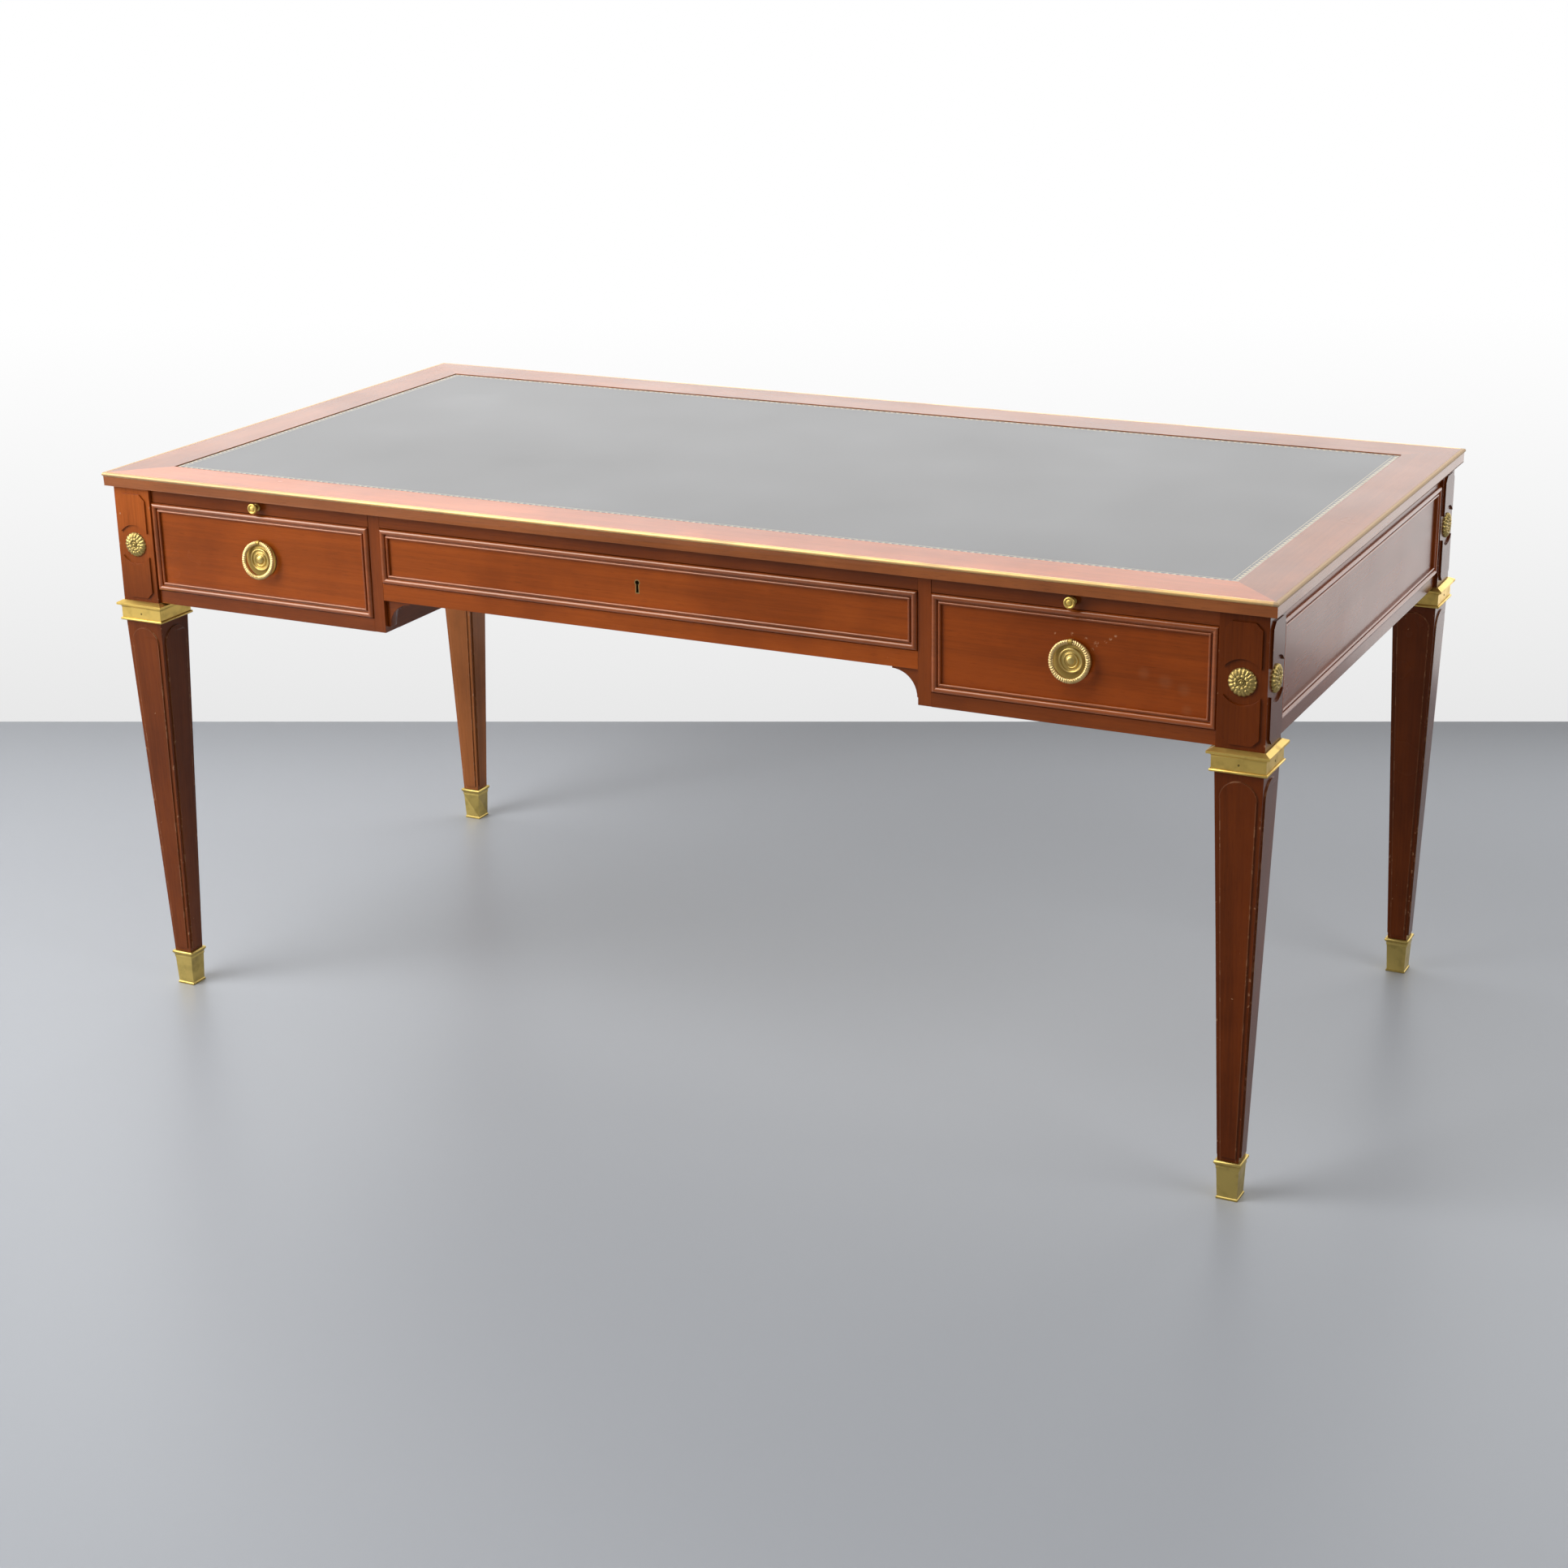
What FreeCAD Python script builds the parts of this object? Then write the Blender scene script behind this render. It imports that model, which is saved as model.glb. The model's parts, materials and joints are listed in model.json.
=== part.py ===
import FreeCAD, Part
import math
import os

# Writing desk with a leather top, three drawers, two pull-out slides and four tapered legs.
# Millimetres. X runs along the front to the right, Y to the back, Z up.
# The origin is on the floor under the middle of the top.

V = FreeCAD.Vector

# Overall size, over the brass edge of the top
desk_length = 1655.0
desk_depth = 841.0
desk_height = 760.0

# Top
top_thickness = 18.0
border_width = 70.0
leather_thickness = 1.2
leather_sink = 1.2
leather_gap = 0.6
brass_edge_height = 5.0
brass_edge_depth = 5.0
brass_edge_proud = 1.5
brass_edge_round = 1.6

# Corner blocks and legs
end_overhang = 11.5
front_overhang = 9.0
block_size = 59.0
block_field_margin = 7.5
block_field_top_margin = 10.0
block_field_foot_margin = 6.0
block_field_corner = 8.0
block_field_proud = 2.5
leg_foot_size = 27.0
leg_field_proud = 1.8
leg_strip_top = 7.0
leg_strip_foot = 4.0
leg_arch_drop = 10.0
leg_field_foot_gap = 6.0

# Brass collar under each block
collar_height = 28.5
collar_tip_size = 76.0
collar_tip_height = 3.0
collar_tip_drop = 3.5
collar_shelf = 1.5
collar_cove_height = 4.5
collar_frieze_size = 66.0
collar_lip_size = 70.0
collar_lip_height = 3.6
collar_lip_round = 1.0

# Brass sabot on each foot
sabot_height = 52.0
sabot_floor = 4.0
sabot_base_size = 27.4
sabot_base_height = 2.4
sabot_body_foot_size = 25.4
sabot_body_top_size = 28.4
sabot_rim_size = 34.2
sabot_rim_height = 5.0
sabot_cove_height = 4.0
sabot_line_height = 1.6
sabot_line_proud = 0.7
foot_peg_step = 1.2

# Rosette on each outer face of a block
rosette_radius = 17.0
rosette_edge_height = 2.0
rosette_shoulder_radius = 14.0
rosette_shoulder_height = 4.6
rosette_crown_radius = 9.0
rosette_crown_height = 5.2
rosette_groove_radius = 5.0
rosette_groove_height = 3.6
rosette_eye_radius = 3.6
rosette_eye_height = 6.6
rosette_arc_clearance = 10.5
petal_count = 12
petal_tip_share = 0.5
petal_valley = 0.9

# Aprons round the drawers
apron_height = 161.5
center_apron_height = 117.0
apron_setback = 4.5
panel_setback = 1.5
panel_thickness = 20.0
bottom_rail_height = 18.0
center_rail_height = 23.0
top_rail_height = 19.0
kneehole_width = 768.0
stile_width = 17.0
stile_depth = 30.0
panel_tenon_length = 20.0
panel_tenon_thickness = 8.0
panel_tenon_shoulder = 25.0
rail_tenon_length = 20.0
rail_tenon_height = 9.0
rail_tenon_shoulder = 10.0
bracket_reach = 37.0
bracket_step = 4.0
bracket_setback = 6.0
bracket_thickness = 14.0

# Mitred moulding round each drawer front and panel: broad outer roll, quirk, narrow inner bead
moulding_width = 12.0
roll_width = 7.4
roll_base = 2.2
roll_rise = 3.2
quirk_height = 1.2
inner_bead_width = 3.2
inner_bead_base = 2.2

# Drawers
drawer_gap = 0.8
running_gap = 0.3
drawer_length = 560.0
drawer_front_thickness = 20.0
drawer_side_thickness = 11.0
drawer_back_thickness = 11.0
drawer_bottom_thickness = 6.0
drawer_bottom_rise = 8.0
groove_depth = 5.0
lap_thickness = 6.0
center_side_drop = 6.0
back_drop = 4.0
side_tail_count = 4
center_tail_count = 2
pin_width = 7.0
tail_slope = 1.0 / 7.0

# Runners, bearers, stops and glue blocks
runner_width = 22.0
runner_height = 14.0
guide_height = 14.0
bearer_height = 12.0
kicker_gap = 0.8
stop_length = 30.0
stop_depth = 20.0
stop_height = 6.0
stop_spacing = 160.0
glue_block_size = 25.0
glue_block_length = 60.0

# Writing slides and their knobs
slide_thickness = 19.0
slide_gap = 0.5
slide_length = 560.0
slide_front_depth = 30.0
knob_length = 12.0
knob_radius = 7.5
knob_head_thickness = 4.6
knob_face_radius = 4.6
knob_face_groove = 0.6
knob_stem_radius = 3.2
knob_rose_radius = 5.4
knob_rose_height = 1.6
knob_shank_radius = 2.0
knob_shank_length = 14.0
shank_clearance = 0.05

# Ring pulls
plate_radius = 24.0
plate_edge_height = 1.6
plate_dish_height = 2.2
boss_radius = 15.5
boss_height = 5.0
boss_ring_width = 3.0
boss_well_height = 3.4
boss_eye_radius = 8.5
boss_eye_height = 6.4
ring_radius = 23.75
ring_section_radius = 2.75
ring_stand_off = 5.0
ring_rest_tilt = 8.0
lug_width = 5.0
lug_radius = 3.1
lug_gap = 0.4
pivot_radius = 1.25
pivot_length = 1.6
pivot_clearance = 0.05

# Lock of the centre drawer
lock_width = 60.0
lock_height = 52.0
lock_thickness = 9.0
selvage_thickness = 2.0
selvage_depth = 13.0
bolt_width = 18.0
bolt_thickness = 4.0
bolt_length = 26.0
bolt_setback = 5.5
bolt_clearance = 0.3
bolt_throw = 8.0
strike_clearance = 0.8
keyhole_radius = 2.8
keyhole_rise = 5.0
keyhole_drop = 8.0
keyhole_slot_width = 2.6
keyhole_foot_width = 3.6
liner_wall = 1.2
liner_depth = 6.0

# Places that follow from the sizes above
half_length = desk_length / 2
half_depth = desk_depth / 2
kneehole_half = kneehole_width / 2
stile_outer = kneehole_half + stile_width
top_underside = desk_height - top_thickness
apron_bottom = top_underside - apron_height
center_bottom = top_underside - center_apron_height
bottom_rail_top = apron_bottom + bottom_rail_height
center_rail_top = center_bottom + center_rail_height
leg_x = half_length - end_overhang - block_size / 2
leg_y = half_depth - front_overhang - block_size / 2
block_inner_x = leg_x - block_size / 2
block_inner_y = leg_y - block_size / 2
apron_face_x = leg_x + block_size / 2 - apron_setback
apron_face_y = leg_y + block_size / 2 - apron_setback
apron_inside_x = apron_face_x - panel_thickness
apron_inside_y = apron_face_y - panel_thickness
collar_bottom = apron_bottom - collar_height
rosette_height = (top_underside + apron_bottom) / 2
drawer_face_y = panel_setback - apron_face_y
front_back_y = drawer_face_y + drawer_front_thickness
drawer_end_y = drawer_face_y + drawer_length
slide_top = top_underside - slide_gap
slide_bottom = slide_top - slide_thickness
bearer_top = slide_bottom - running_gap
bearer_bottom = bearer_top - bearer_height
side_drawer_x = (stile_outer + drawer_gap, block_inner_x - drawer_gap)
side_drawer_middle = (side_drawer_x[0] + side_drawer_x[1]) / 2
side_drawer_z = (bottom_rail_top + drawer_gap, slide_bottom - drawer_gap)
side_panel_y = (drawer_gap - block_inner_y, block_inner_y - drawer_gap)
center_drawer_x = (drawer_gap - kneehole_half, kneehole_half - drawer_gap)
center_drawer_z = (center_rail_top + drawer_gap, top_underside - top_rail_height - drawer_gap)
center_side_top = center_drawer_z[1] - center_side_drop
carcase_y = (-block_inner_y, block_inner_y)
keyhole_height = (center_drawer_z[0] + center_drawer_z[1]) / 2
sides = (("left", -1), ("right", 1))
corners = (("front_left", -1, -1), ("front_right", 1, -1), ("back_left", -1, 1), ("back_right", 1, 1))


# Helpers for drawing and placing

def on_xy(u, v):
    return V(u, v, 0)


def on_xz(u, v):
    return V(u, 0, v)


def on_yz(u, v):
    return V(0, u, v)


def face(plane, start, *steps):
    """Flat face: a step is a corner to run straight to, or (through, end) for an arc."""
    edges = []
    here = start
    for step in steps:
        if isinstance(step[0], tuple):
            through, end = step
            edges.append(Part.Arc(plane(*here), plane(*through), plane(*end)).toShape())
        else:
            end = step
            edges.append(Part.makeLine(plane(*here), plane(*end)))
        here = end
    if here != start:
        edges.append(Part.makeLine(plane(*here), plane(*start)))
    return Part.Face(Part.Wire(edges))


def raised(flat, low, high, along):
    """Extrudes a face between two heights along a unit direction."""
    solid = flat.extrude(along * (high - low))
    solid.translate(along * low)
    return solid


def board(x, y, z):
    """Straight board between pairs of X, Y and Z values."""
    return Part.makeBox(x[1] - x[0], y[1] - y[0], z[1] - z[0], V(x[0], y[0], z[0]))


def handed(side, inner, outer):
    """X range between two distances from the middle, on the left (-1) or right (1)."""
    return tuple(sorted((side * inner, side * outer)))


def turned(start, *steps):
    """Round piece about Z from a half profile of radius against height."""
    return face(on_xz, start, *steps).revolve(V(0, 0, 0), V(0, 0, 1), 360)


def dome(radius, base, top):
    """Step of a half profile that closes over the axis as part of a ball."""
    rise = top - base
    ball = (radius ** 2 + rise ** 2) / (2 * rise)
    turn = math.atan2(radius, ball - rise) / 2
    return ((ball * math.sin(turn), top - ball + ball * math.cos(turn)), (0, top))


def square_turned(start, *steps):
    """Square piece about Z whose four sides follow one profile of half width against height."""
    half = face(on_xz, start, *steps)
    reach = 2 * half.BoundBox.XMax
    right = raised(half, -reach, reach, V(0, 1, 0))
    slab = right.fuse(right.mirror(V(0, 0, 0), V(1, 0, 0))).removeSplitter()
    across = slab.copy()
    across.rotate(V(0, 0, 0), V(0, 0, 1), 90)
    return slab.common(across).removeSplitter()


def frustum(low_half, low_z, high_half, high_z):
    """Square block that tapers from one half width to another."""
    wires = []
    for half, z in ((low_half, low_z), (high_half, high_z)):
        points = [V(-half, -half, z), V(half, -half, z), V(half, half, z), V(-half, half, z)]
        wires.append(Part.makePolygon(points + points[:1]))
    return Part.makeLoft(wires, True, True)


def upright(shape, turn, place):
    """Stands a piece drawn on the XY plane on edge: turn 0 faces the front, 90 the right end."""
    rotation = FreeCAD.Rotation(V(0, 0, 1), turn).multiply(FreeCAD.Rotation(V(1, 0, 0), 90))
    stood = shape.copy()
    stood.Placement = FreeCAD.Placement(place, rotation).multiply(shape.Placement)
    return stood


def mitred_frame(length, width, start, *steps):
    """Four mitred strips round a rectangle. The profile runs inwards from the outer edge, and up."""
    section = face(on_yz, start, *steps)
    extent = section.BoundBox
    inner = extent.YMax
    strips = []
    for run, offset, turns in ((length, width, (0, 180)), (width, length, (90, 270))):
        end = run / 2
        bar = raised(section, -end, end, V(1, 0, 0))
        mitres = face(on_xy, (-end, 0), (end, 0), (end - inner, inner), (inner - end, inner))
        strip = bar.common(raised(mitres, extent.ZMin, extent.ZMax, V(0, 0, 1)))
        strip.translate(V(0, -offset / 2, 0))
        for turn in turns:
            placed = strip.copy()
            placed.rotate(V(0, 0, 0), V(0, 0, 1), turn)
            strips.append(placed)
    return strips


def save(name, *shapes):
    """Writes the solids of one named piece."""
    solids = [solid for shape in shapes for solid in shape.Solids]
    whole = solids[0] if len(solids) == 1 else Part.Compound(solids)
    whole.exportStep("parts/%s.step" % name)


# Top

def top_core():
    x = half_length - border_width
    y = half_depth - border_width
    top = desk_height - leather_sink - leather_thickness
    return board((-x, x), (-y, y), (top_underside, top))


def leather_inset():
    x = half_length - border_width - leather_gap
    y = half_depth - border_width - leather_gap
    top = desk_height - leather_sink
    return board((-x, x), (-y, y), (top - leather_thickness, top))


def top_border():
    rebate = brass_edge_depth - brass_edge_proud
    width = border_width - brass_edge_proud
    shoulder = desk_height - brass_edge_height
    return mitred_frame(
        desk_length - 2 * brass_edge_proud, desk_depth - 2 * brass_edge_proud,
        (0, top_underside), (width, top_underside), (width, desk_height),
        (rebate, desk_height), (rebate, shoulder), (0, shoulder))


def brass_edge():
    low = desk_height - brass_edge_height
    middle = desk_height - brass_edge_height / 2
    return mitred_frame(
        desk_length, desk_depth,
        (brass_edge_depth, low), (brass_edge_round, low),
        ((0, middle), (brass_edge_round, desk_height)), (brass_edge_depth, desk_height))


# Legs

def leg_half(z):
    """Half width of the tapered leg at a height."""
    share = (z - sabot_height) / (collar_bottom - sabot_height)
    return (leg_foot_size + share * (block_size - leg_foot_size)) / 2


def tapered_leg():
    """Tapered shaft with a raised field on each face, arched at the top."""
    shaft = frustum(leg_half(sabot_height), sabot_height, leg_half(collar_bottom), collar_bottom)
    swollen = frustum(leg_half(sabot_height) + leg_field_proud, sabot_height,
                      leg_half(collar_bottom) + leg_field_proud, collar_bottom)
    foot = sabot_height + leg_field_foot_gap
    foot_half = leg_half(foot) - leg_strip_foot
    apex = collar_bottom - leg_arch_drop
    arch_half = leg_half(apex) - leg_strip_top
    spring = apex - arch_half
    fields = []
    for plane, along in ((on_xz, V(0, 1, 0)), (on_yz, V(1, 0, 0))):
        outline = face(plane, (-foot_half, foot), (foot_half, foot), (arch_half, spring),
                       ((0, apex), (-arch_half, spring)))
        fields.append(swollen.common(raised(outline, -block_size, block_size, along)))
    return shaft.fuse(fields)


def block_fields(plane, along):
    """Two raised fields on one block face, cut back round the rosette, with cut outer corners."""
    half = block_size / 2 - block_field_margin
    radius = rosette_radius + rosette_arc_clearance
    rise = math.sqrt(radius ** 2 - half ** 2)
    corner = half - block_field_corner
    fields = []
    ends = ((1, top_underside - block_field_top_margin), (-1, apron_bottom + block_field_foot_margin))
    for way, end in ends:
        middle = rosette_height + way * rise
        crown = rosette_height + way * radius
        shoulder = end - way * block_field_corner
        outline = face(plane, (half, middle), (half, shoulder), (corner, end), (-corner, end),
                       (-half, shoulder), (-half, middle), ((0, crown), (half, middle)))
        fields.append(raised(outline, 0, block_size / 2 + block_field_proud, along))
    return fields


def leg(side, back):
    """Leg and corner block in one, for one corner of the desk."""
    half = block_size / 2
    block = board((-half, half), (-half, half), (collar_bottom, top_underside))
    peg = frustum(leg_half(sabot_floor) - foot_peg_step, sabot_floor,
                  leg_half(sabot_height) - foot_peg_step, sabot_height)
    fields = block_fields(on_xz, V(0, back, 0)) + block_fields(on_yz, V(side, 0, 0))
    whole = block.fuse(fields + [tapered_leg(), peg]).removeSplitter()
    whole.translate(V(side * leg_x, back * leg_y, 0))
    return whole


def collar():
    """Square brass collar: lip, plain frieze, cove, square tip and a sloped top."""
    low = collar_bottom
    frieze = collar_frieze_size / 2
    lip = collar_lip_size / 2
    lip_top = low + collar_lip_height
    tip = collar_tip_size / 2
    tip_top = apron_bottom - collar_tip_drop
    tip_low = tip_top - collar_tip_height
    cove_low = tip_low - collar_cove_height
    cove_out = tip - collar_tip_height / 2
    bend = math.sqrt(0.5)
    through = (cove_out - (cove_out - frieze) * bend, cove_low + collar_cove_height * bend)
    ring = square_turned(
        (0, low), (lip - collar_lip_round, low),
        ((lip, (low + lip_top) / 2), (lip - collar_lip_round, lip_top)), (frieze, lip_top),
        (frieze, cove_low), (through, (cove_out, tip_low)), (tip, tip_low), (tip, tip_top),
        (block_size / 2 + collar_shelf, apron_bottom), (0, apron_bottom))
    hole = block_size / 2
    return ring.cut(board((-hole, hole), (-hole, hole), (low, apron_bottom)))


def sabot():
    """Square brass foot cup: base lip, tapered body, fine line, cove and rounded rim."""
    base = sabot_base_size / 2
    body_foot = sabot_body_foot_size / 2
    body_top = sabot_body_top_size / 2
    rim = sabot_rim_size / 2
    rim_low = sabot_height - sabot_rim_height
    cove_low = rim_low - sabot_cove_height
    line_low = cove_low - sabot_line_height
    line = body_top + sabot_line_proud
    lip_end = sabot_base_height + (base - body_foot)
    rim_inner = rim - sabot_rim_height / 4
    bend = math.sqrt(0.5)
    through = (rim_inner - (rim_inner - line) * bend, cove_low + sabot_cove_height * bend)
    cup = square_turned(
        (0, 0), (base, 0), (base, sabot_base_height), (body_foot, lip_end), (body_top, line_low),
        (line, line_low), (line, cove_low), (through, (rim_inner, rim_low)),
        ((rim, rim_low + sabot_rim_height / 2), (rim_inner, sabot_height)), (0, sabot_height))
    peg = frustum(leg_half(sabot_floor) - foot_peg_step, sabot_floor,
                  leg_half(sabot_height) - foot_peg_step, sabot_height)
    return cup.cut(peg)


def petal_outline(radius, z):
    """Closed outline of a flower: each petal has a flat tip between two valleys."""
    step = 2 * math.pi / petal_count
    points = []
    for petal in range(petal_count):
        tip = step * petal
        for turn, share in ((-petal_tip_share / 2, 1), (petal_tip_share / 2, 1), (0.5, petal_valley)):
            angle = tip + step * turn
            points.append(V(radius * share * math.cos(angle), radius * share * math.sin(angle), z))
    return Part.makePolygon(points + points[:1])


def rosette():
    """Flower boss lying on the XY plane: petals that slope in to a domed eye."""
    petals = Part.makeLoft([
        petal_outline(rosette_radius, 0),
        petal_outline(rosette_radius, rosette_edge_height),
        petal_outline(rosette_shoulder_radius, rosette_shoulder_height),
        petal_outline(rosette_crown_radius, rosette_crown_height),
        petal_outline(rosette_groove_radius, rosette_groove_height)], True, True)
    eye = turned((0, 0), (rosette_eye_radius, 0), (rosette_eye_radius, rosette_groove_height),
                 dome(rosette_eye_radius, rosette_groove_height, rosette_eye_height))
    return petals.fuse(eye)


def block_rosettes():
    """Two rosettes at each corner, on the outer faces of the block."""
    placed = []
    flower = rosette()
    for _, side, back in corners:
        outer_x = side * (leg_x + block_size / 2)
        outer_y = back * (leg_y + block_size / 2)
        front_turn = 0 if back < 0 else 180
        placed.append(upright(flower, front_turn, V(side * leg_x, outer_y, rosette_height)))
        placed.append(upright(flower, side * 90, V(outer_x, back * leg_y, rosette_height)))
    return placed


# Aprons

def panel_moulding(length, height):
    """Mitred moulding frame on the XY plane, its back on the panel."""
    roll_crown = (roll_width / 2, roll_base + roll_rise)
    bead_start = moulding_width - inner_bead_width
    bead_crown = (moulding_width - inner_bead_width / 2, inner_bead_base + inner_bead_width / 2)
    return mitred_frame(
        length, height, (0, 0), (0, roll_base), (roll_crown, (roll_width, roll_base)),
        (roll_width, quirk_height), (bead_start, quirk_height), (bead_start, inner_bead_base),
        (bead_crown, (moulding_width, inner_bead_base)), (moulding_width, 0))


def framed(x, z, turn, depth):
    """Moulding frame that fills an X (or Y) and Z range on a panel face."""
    strips = panel_moulding(x[1] - x[0], z[1] - z[0])
    centre = FreeCAD.Rotation(V(0, 0, 1), turn).multVec(V((x[0] + x[1]) / 2, -depth, 0))
    place = centre + V(0, 0, (z[0] + z[1]) / 2)
    return [upright(strip, turn, place) for strip in strips]


def side_panel(side):
    """Panel at one end, tenoned into the blocks, with a shallow recess for its moulding."""
    x = handed(side, apron_inside_x, apron_face_x)
    middle = (apron_inside_x + apron_face_x) / 2
    tenon_x = handed(side, middle - panel_tenon_thickness / 2, middle + panel_tenon_thickness / 2)
    tenon_y = block_inner_y + panel_tenon_length
    panel = board(x, (-block_inner_y, block_inner_y), (apron_bottom, top_underside))
    tenon = board(tenon_x, (-tenon_y, tenon_y),
                  (apron_bottom + panel_tenon_shoulder, top_underside - panel_tenon_shoulder))
    recess_x = handed(side, apron_face_x - panel_setback, apron_face_x)
    recess = board(recess_x, side_panel_y, side_drawer_z)
    return panel.fuse(tenon).cut(recess)


def back_panel(x, bottom, recess_x, recess_z):
    """Panel of the back with a shallow recess for its moulding."""
    panel = board(x, (apron_inside_y, apron_face_y), (bottom, top_underside))
    recess = board(recess_x, (apron_face_y - panel_setback, apron_face_y), recess_z)
    return panel.cut(recess)


def back_side_panel(side):
    """Back panel beside the kneehole, tenoned into the back block."""
    middle = (apron_inside_y + apron_face_y) / 2
    panel = back_panel(handed(side, kneehole_half, block_inner_x), apron_bottom,
                       handed(side, *side_drawer_x), side_drawer_z)
    tenon = board(handed(side, block_inner_x, block_inner_x + panel_tenon_length),
                  (middle - panel_tenon_thickness / 2, middle + panel_tenon_thickness / 2),
                  (apron_bottom + panel_tenon_shoulder, top_underside - panel_tenon_shoulder))
    return panel.fuse(tenon)


def back_mouldings():
    depth = apron_face_y - panel_setback
    frames = framed(center_drawer_x, center_drawer_z, 180, depth)
    for _, side in sides:
        frames += framed(handed(side, *side_drawer_x), side_drawer_z, 180, depth)
    return frames


def side_mouldings():
    frames = []
    for _, side in sides:
        frames += framed(side_panel_y, side_drawer_z, side * 90, apron_face_x - panel_setback)
    return frames


def bottom_rail(side):
    """Rail under a side drawer, tenoned into the front block."""
    y = (-apron_face_y, -block_inner_y)
    rail = board(handed(side, stile_outer, block_inner_x), y, (apron_bottom, bottom_rail_top))
    middle = (apron_bottom + bottom_rail_top) / 2
    tenon = board(handed(side, block_inner_x, block_inner_x + rail_tenon_length),
                  (y[0] + rail_tenon_shoulder, y[1] - rail_tenon_shoulder),
                  (middle - rail_tenon_height / 2, middle + rail_tenon_height / 2))
    return rail.fuse(tenon)


def center_rail():
    x = (-kneehole_half, kneehole_half)
    y = (-apron_face_y, -block_inner_y)
    return board(x, y, (center_bottom, center_rail_top))


def bolt_space(clearance, low, high):
    """Room for the lock bolt, grown by a clearance."""
    middle = front_back_y - bolt_setback
    half_width = bolt_width / 2 + clearance
    half_thickness = bolt_thickness / 2 + clearance
    y = (middle - half_thickness, middle + half_thickness)
    return board((-half_width, half_width), y, (low, high))


def top_rail():
    """Rail over the centre drawer, mortised for the lock bolt."""
    low = top_underside - top_rail_height
    x = (-kneehole_half, kneehole_half)
    y = (-apron_face_y, -block_inner_y)
    rail = board(x, y, (low, top_underside))
    strike = bolt_space(strike_clearance, low, low + bolt_throw + strike_clearance)
    return rail.cut(strike)


def stile(side):
    y = (-apron_face_y, stile_depth - apron_face_y)
    return board(handed(side, kneehole_half, stile_outer), y, (apron_bottom, top_underside))


def partition(side):
    """Board beside the kneehole, from the stile to the back panel."""
    y = (stile_depth - apron_face_y, apron_inside_y)
    return board(handed(side, kneehole_half, stile_outer), y, (apron_bottom, top_underside))


def kneehole_brackets():
    """Coved brackets under the centre rail and under the middle of the back."""
    reach = kneehole_half - bracket_reach
    step = kneehole_half - bracket_step
    low = center_bottom - bracket_reach
    radius = bracket_reach - bracket_step
    through = (reach + radius * math.sqrt(0.5), low + radius * math.sqrt(0.5))
    outline = face(on_xz, (kneehole_half, center_bottom), (reach, center_bottom),
                   (reach, center_bottom - bracket_step), (through, (step, low)), (kneehole_half, low))
    outer = apron_face_y - bracket_setback
    back_right = raised(outline, outer - bracket_thickness, outer, V(0, 1, 0))
    front_right = back_right.mirror(V(0, 0, 0), V(0, 1, 0))
    pair = [back_right, front_right]
    return pair + [bracket.mirror(V(0, 0, 0), V(1, 0, 0)) for bracket in pair]


# Inside the carcase

def inner_runner_x(side):
    """Strip beside the partition, under or over a side drawer."""
    return handed(side, stile_outer, stile_outer + runner_width)


def outer_runner_x(side):
    """Strip against the side panel."""
    return handed(side, block_inner_x - runner_width, apron_inside_x)


def center_runner_x(side):
    """Strip on the kneehole face of the partition."""
    return handed(side, kneehole_half - runner_width, kneehole_half)


def guide_x(side):
    """Strip that fills the space between a side drawer and the side panel."""
    return handed(side, block_inner_x, apron_inside_x)


def drawer_runners():
    """Strips that carry the drawers, with a guide beside each side drawer."""
    strips = []
    side_z = (bottom_rail_top - runner_height, bottom_rail_top)
    center_z = (center_rail_top - runner_height, center_rail_top)
    guide_z = (bottom_rail_top, bottom_rail_top + guide_height)
    for _, side in sides:
        strips.append(board(inner_runner_x(side), carcase_y, side_z))
        strips.append(board(outer_runner_x(side), carcase_y, side_z))
        strips.append(board(center_runner_x(side), carcase_y, center_z))
        strips.append(board(guide_x(side), carcase_y, guide_z))
    return strips


def slide_bearers():
    """Strips that carry the slides and keep the drawers from tipping."""
    strips = []
    bearer_z = (bearer_bottom, bearer_top)
    guide_z = (bearer_top, top_underside)
    kicker_z = (center_side_top + kicker_gap, top_underside)
    for _, side in sides:
        strips.append(board(inner_runner_x(side), carcase_y, bearer_z))
        strips.append(board(outer_runner_x(side), carcase_y, bearer_z))
        strips.append(board(center_runner_x(side), carcase_y, kicker_z))
        strips.append(board(guide_x(side), carcase_y, guide_z))
    return strips


def drawer_stops():
    """Small blocks on the front rails that the drawer fronts close against."""
    stops = []
    y = (front_back_y + running_gap, front_back_y + running_gap + stop_depth)
    left = (-side_drawer_middle, bottom_rail_top)
    center = (0, center_rail_top)
    right = (side_drawer_middle, bottom_rail_top)
    for middle, top in (left, center, right):
        for way in (-1, 1):
            x = middle + way * stop_spacing / 2
            stops.append(board((x - stop_length / 2, x + stop_length / 2), y, (top, top + stop_height)))
    return stops


def glue_blocks():
    """Three-cornered blocks that hold the top to the back panels, spread over the three bays."""
    outline = face(on_yz, (apron_inside_y, top_underside),
                   (apron_inside_y - glue_block_size, top_underside),
                   (apron_inside_y, top_underside - glue_block_size))
    side_bay = (stile_outer + block_inner_x) / 2
    half = glue_block_length / 2
    blocks = []
    for x in (-side_bay, -kneehole_half / 2, 0, kneehole_half / 2, side_bay):
        blocks.append(raised(outline, x - half, x + half, V(1, 0, 0)))
    return blocks


# Drawers

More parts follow.
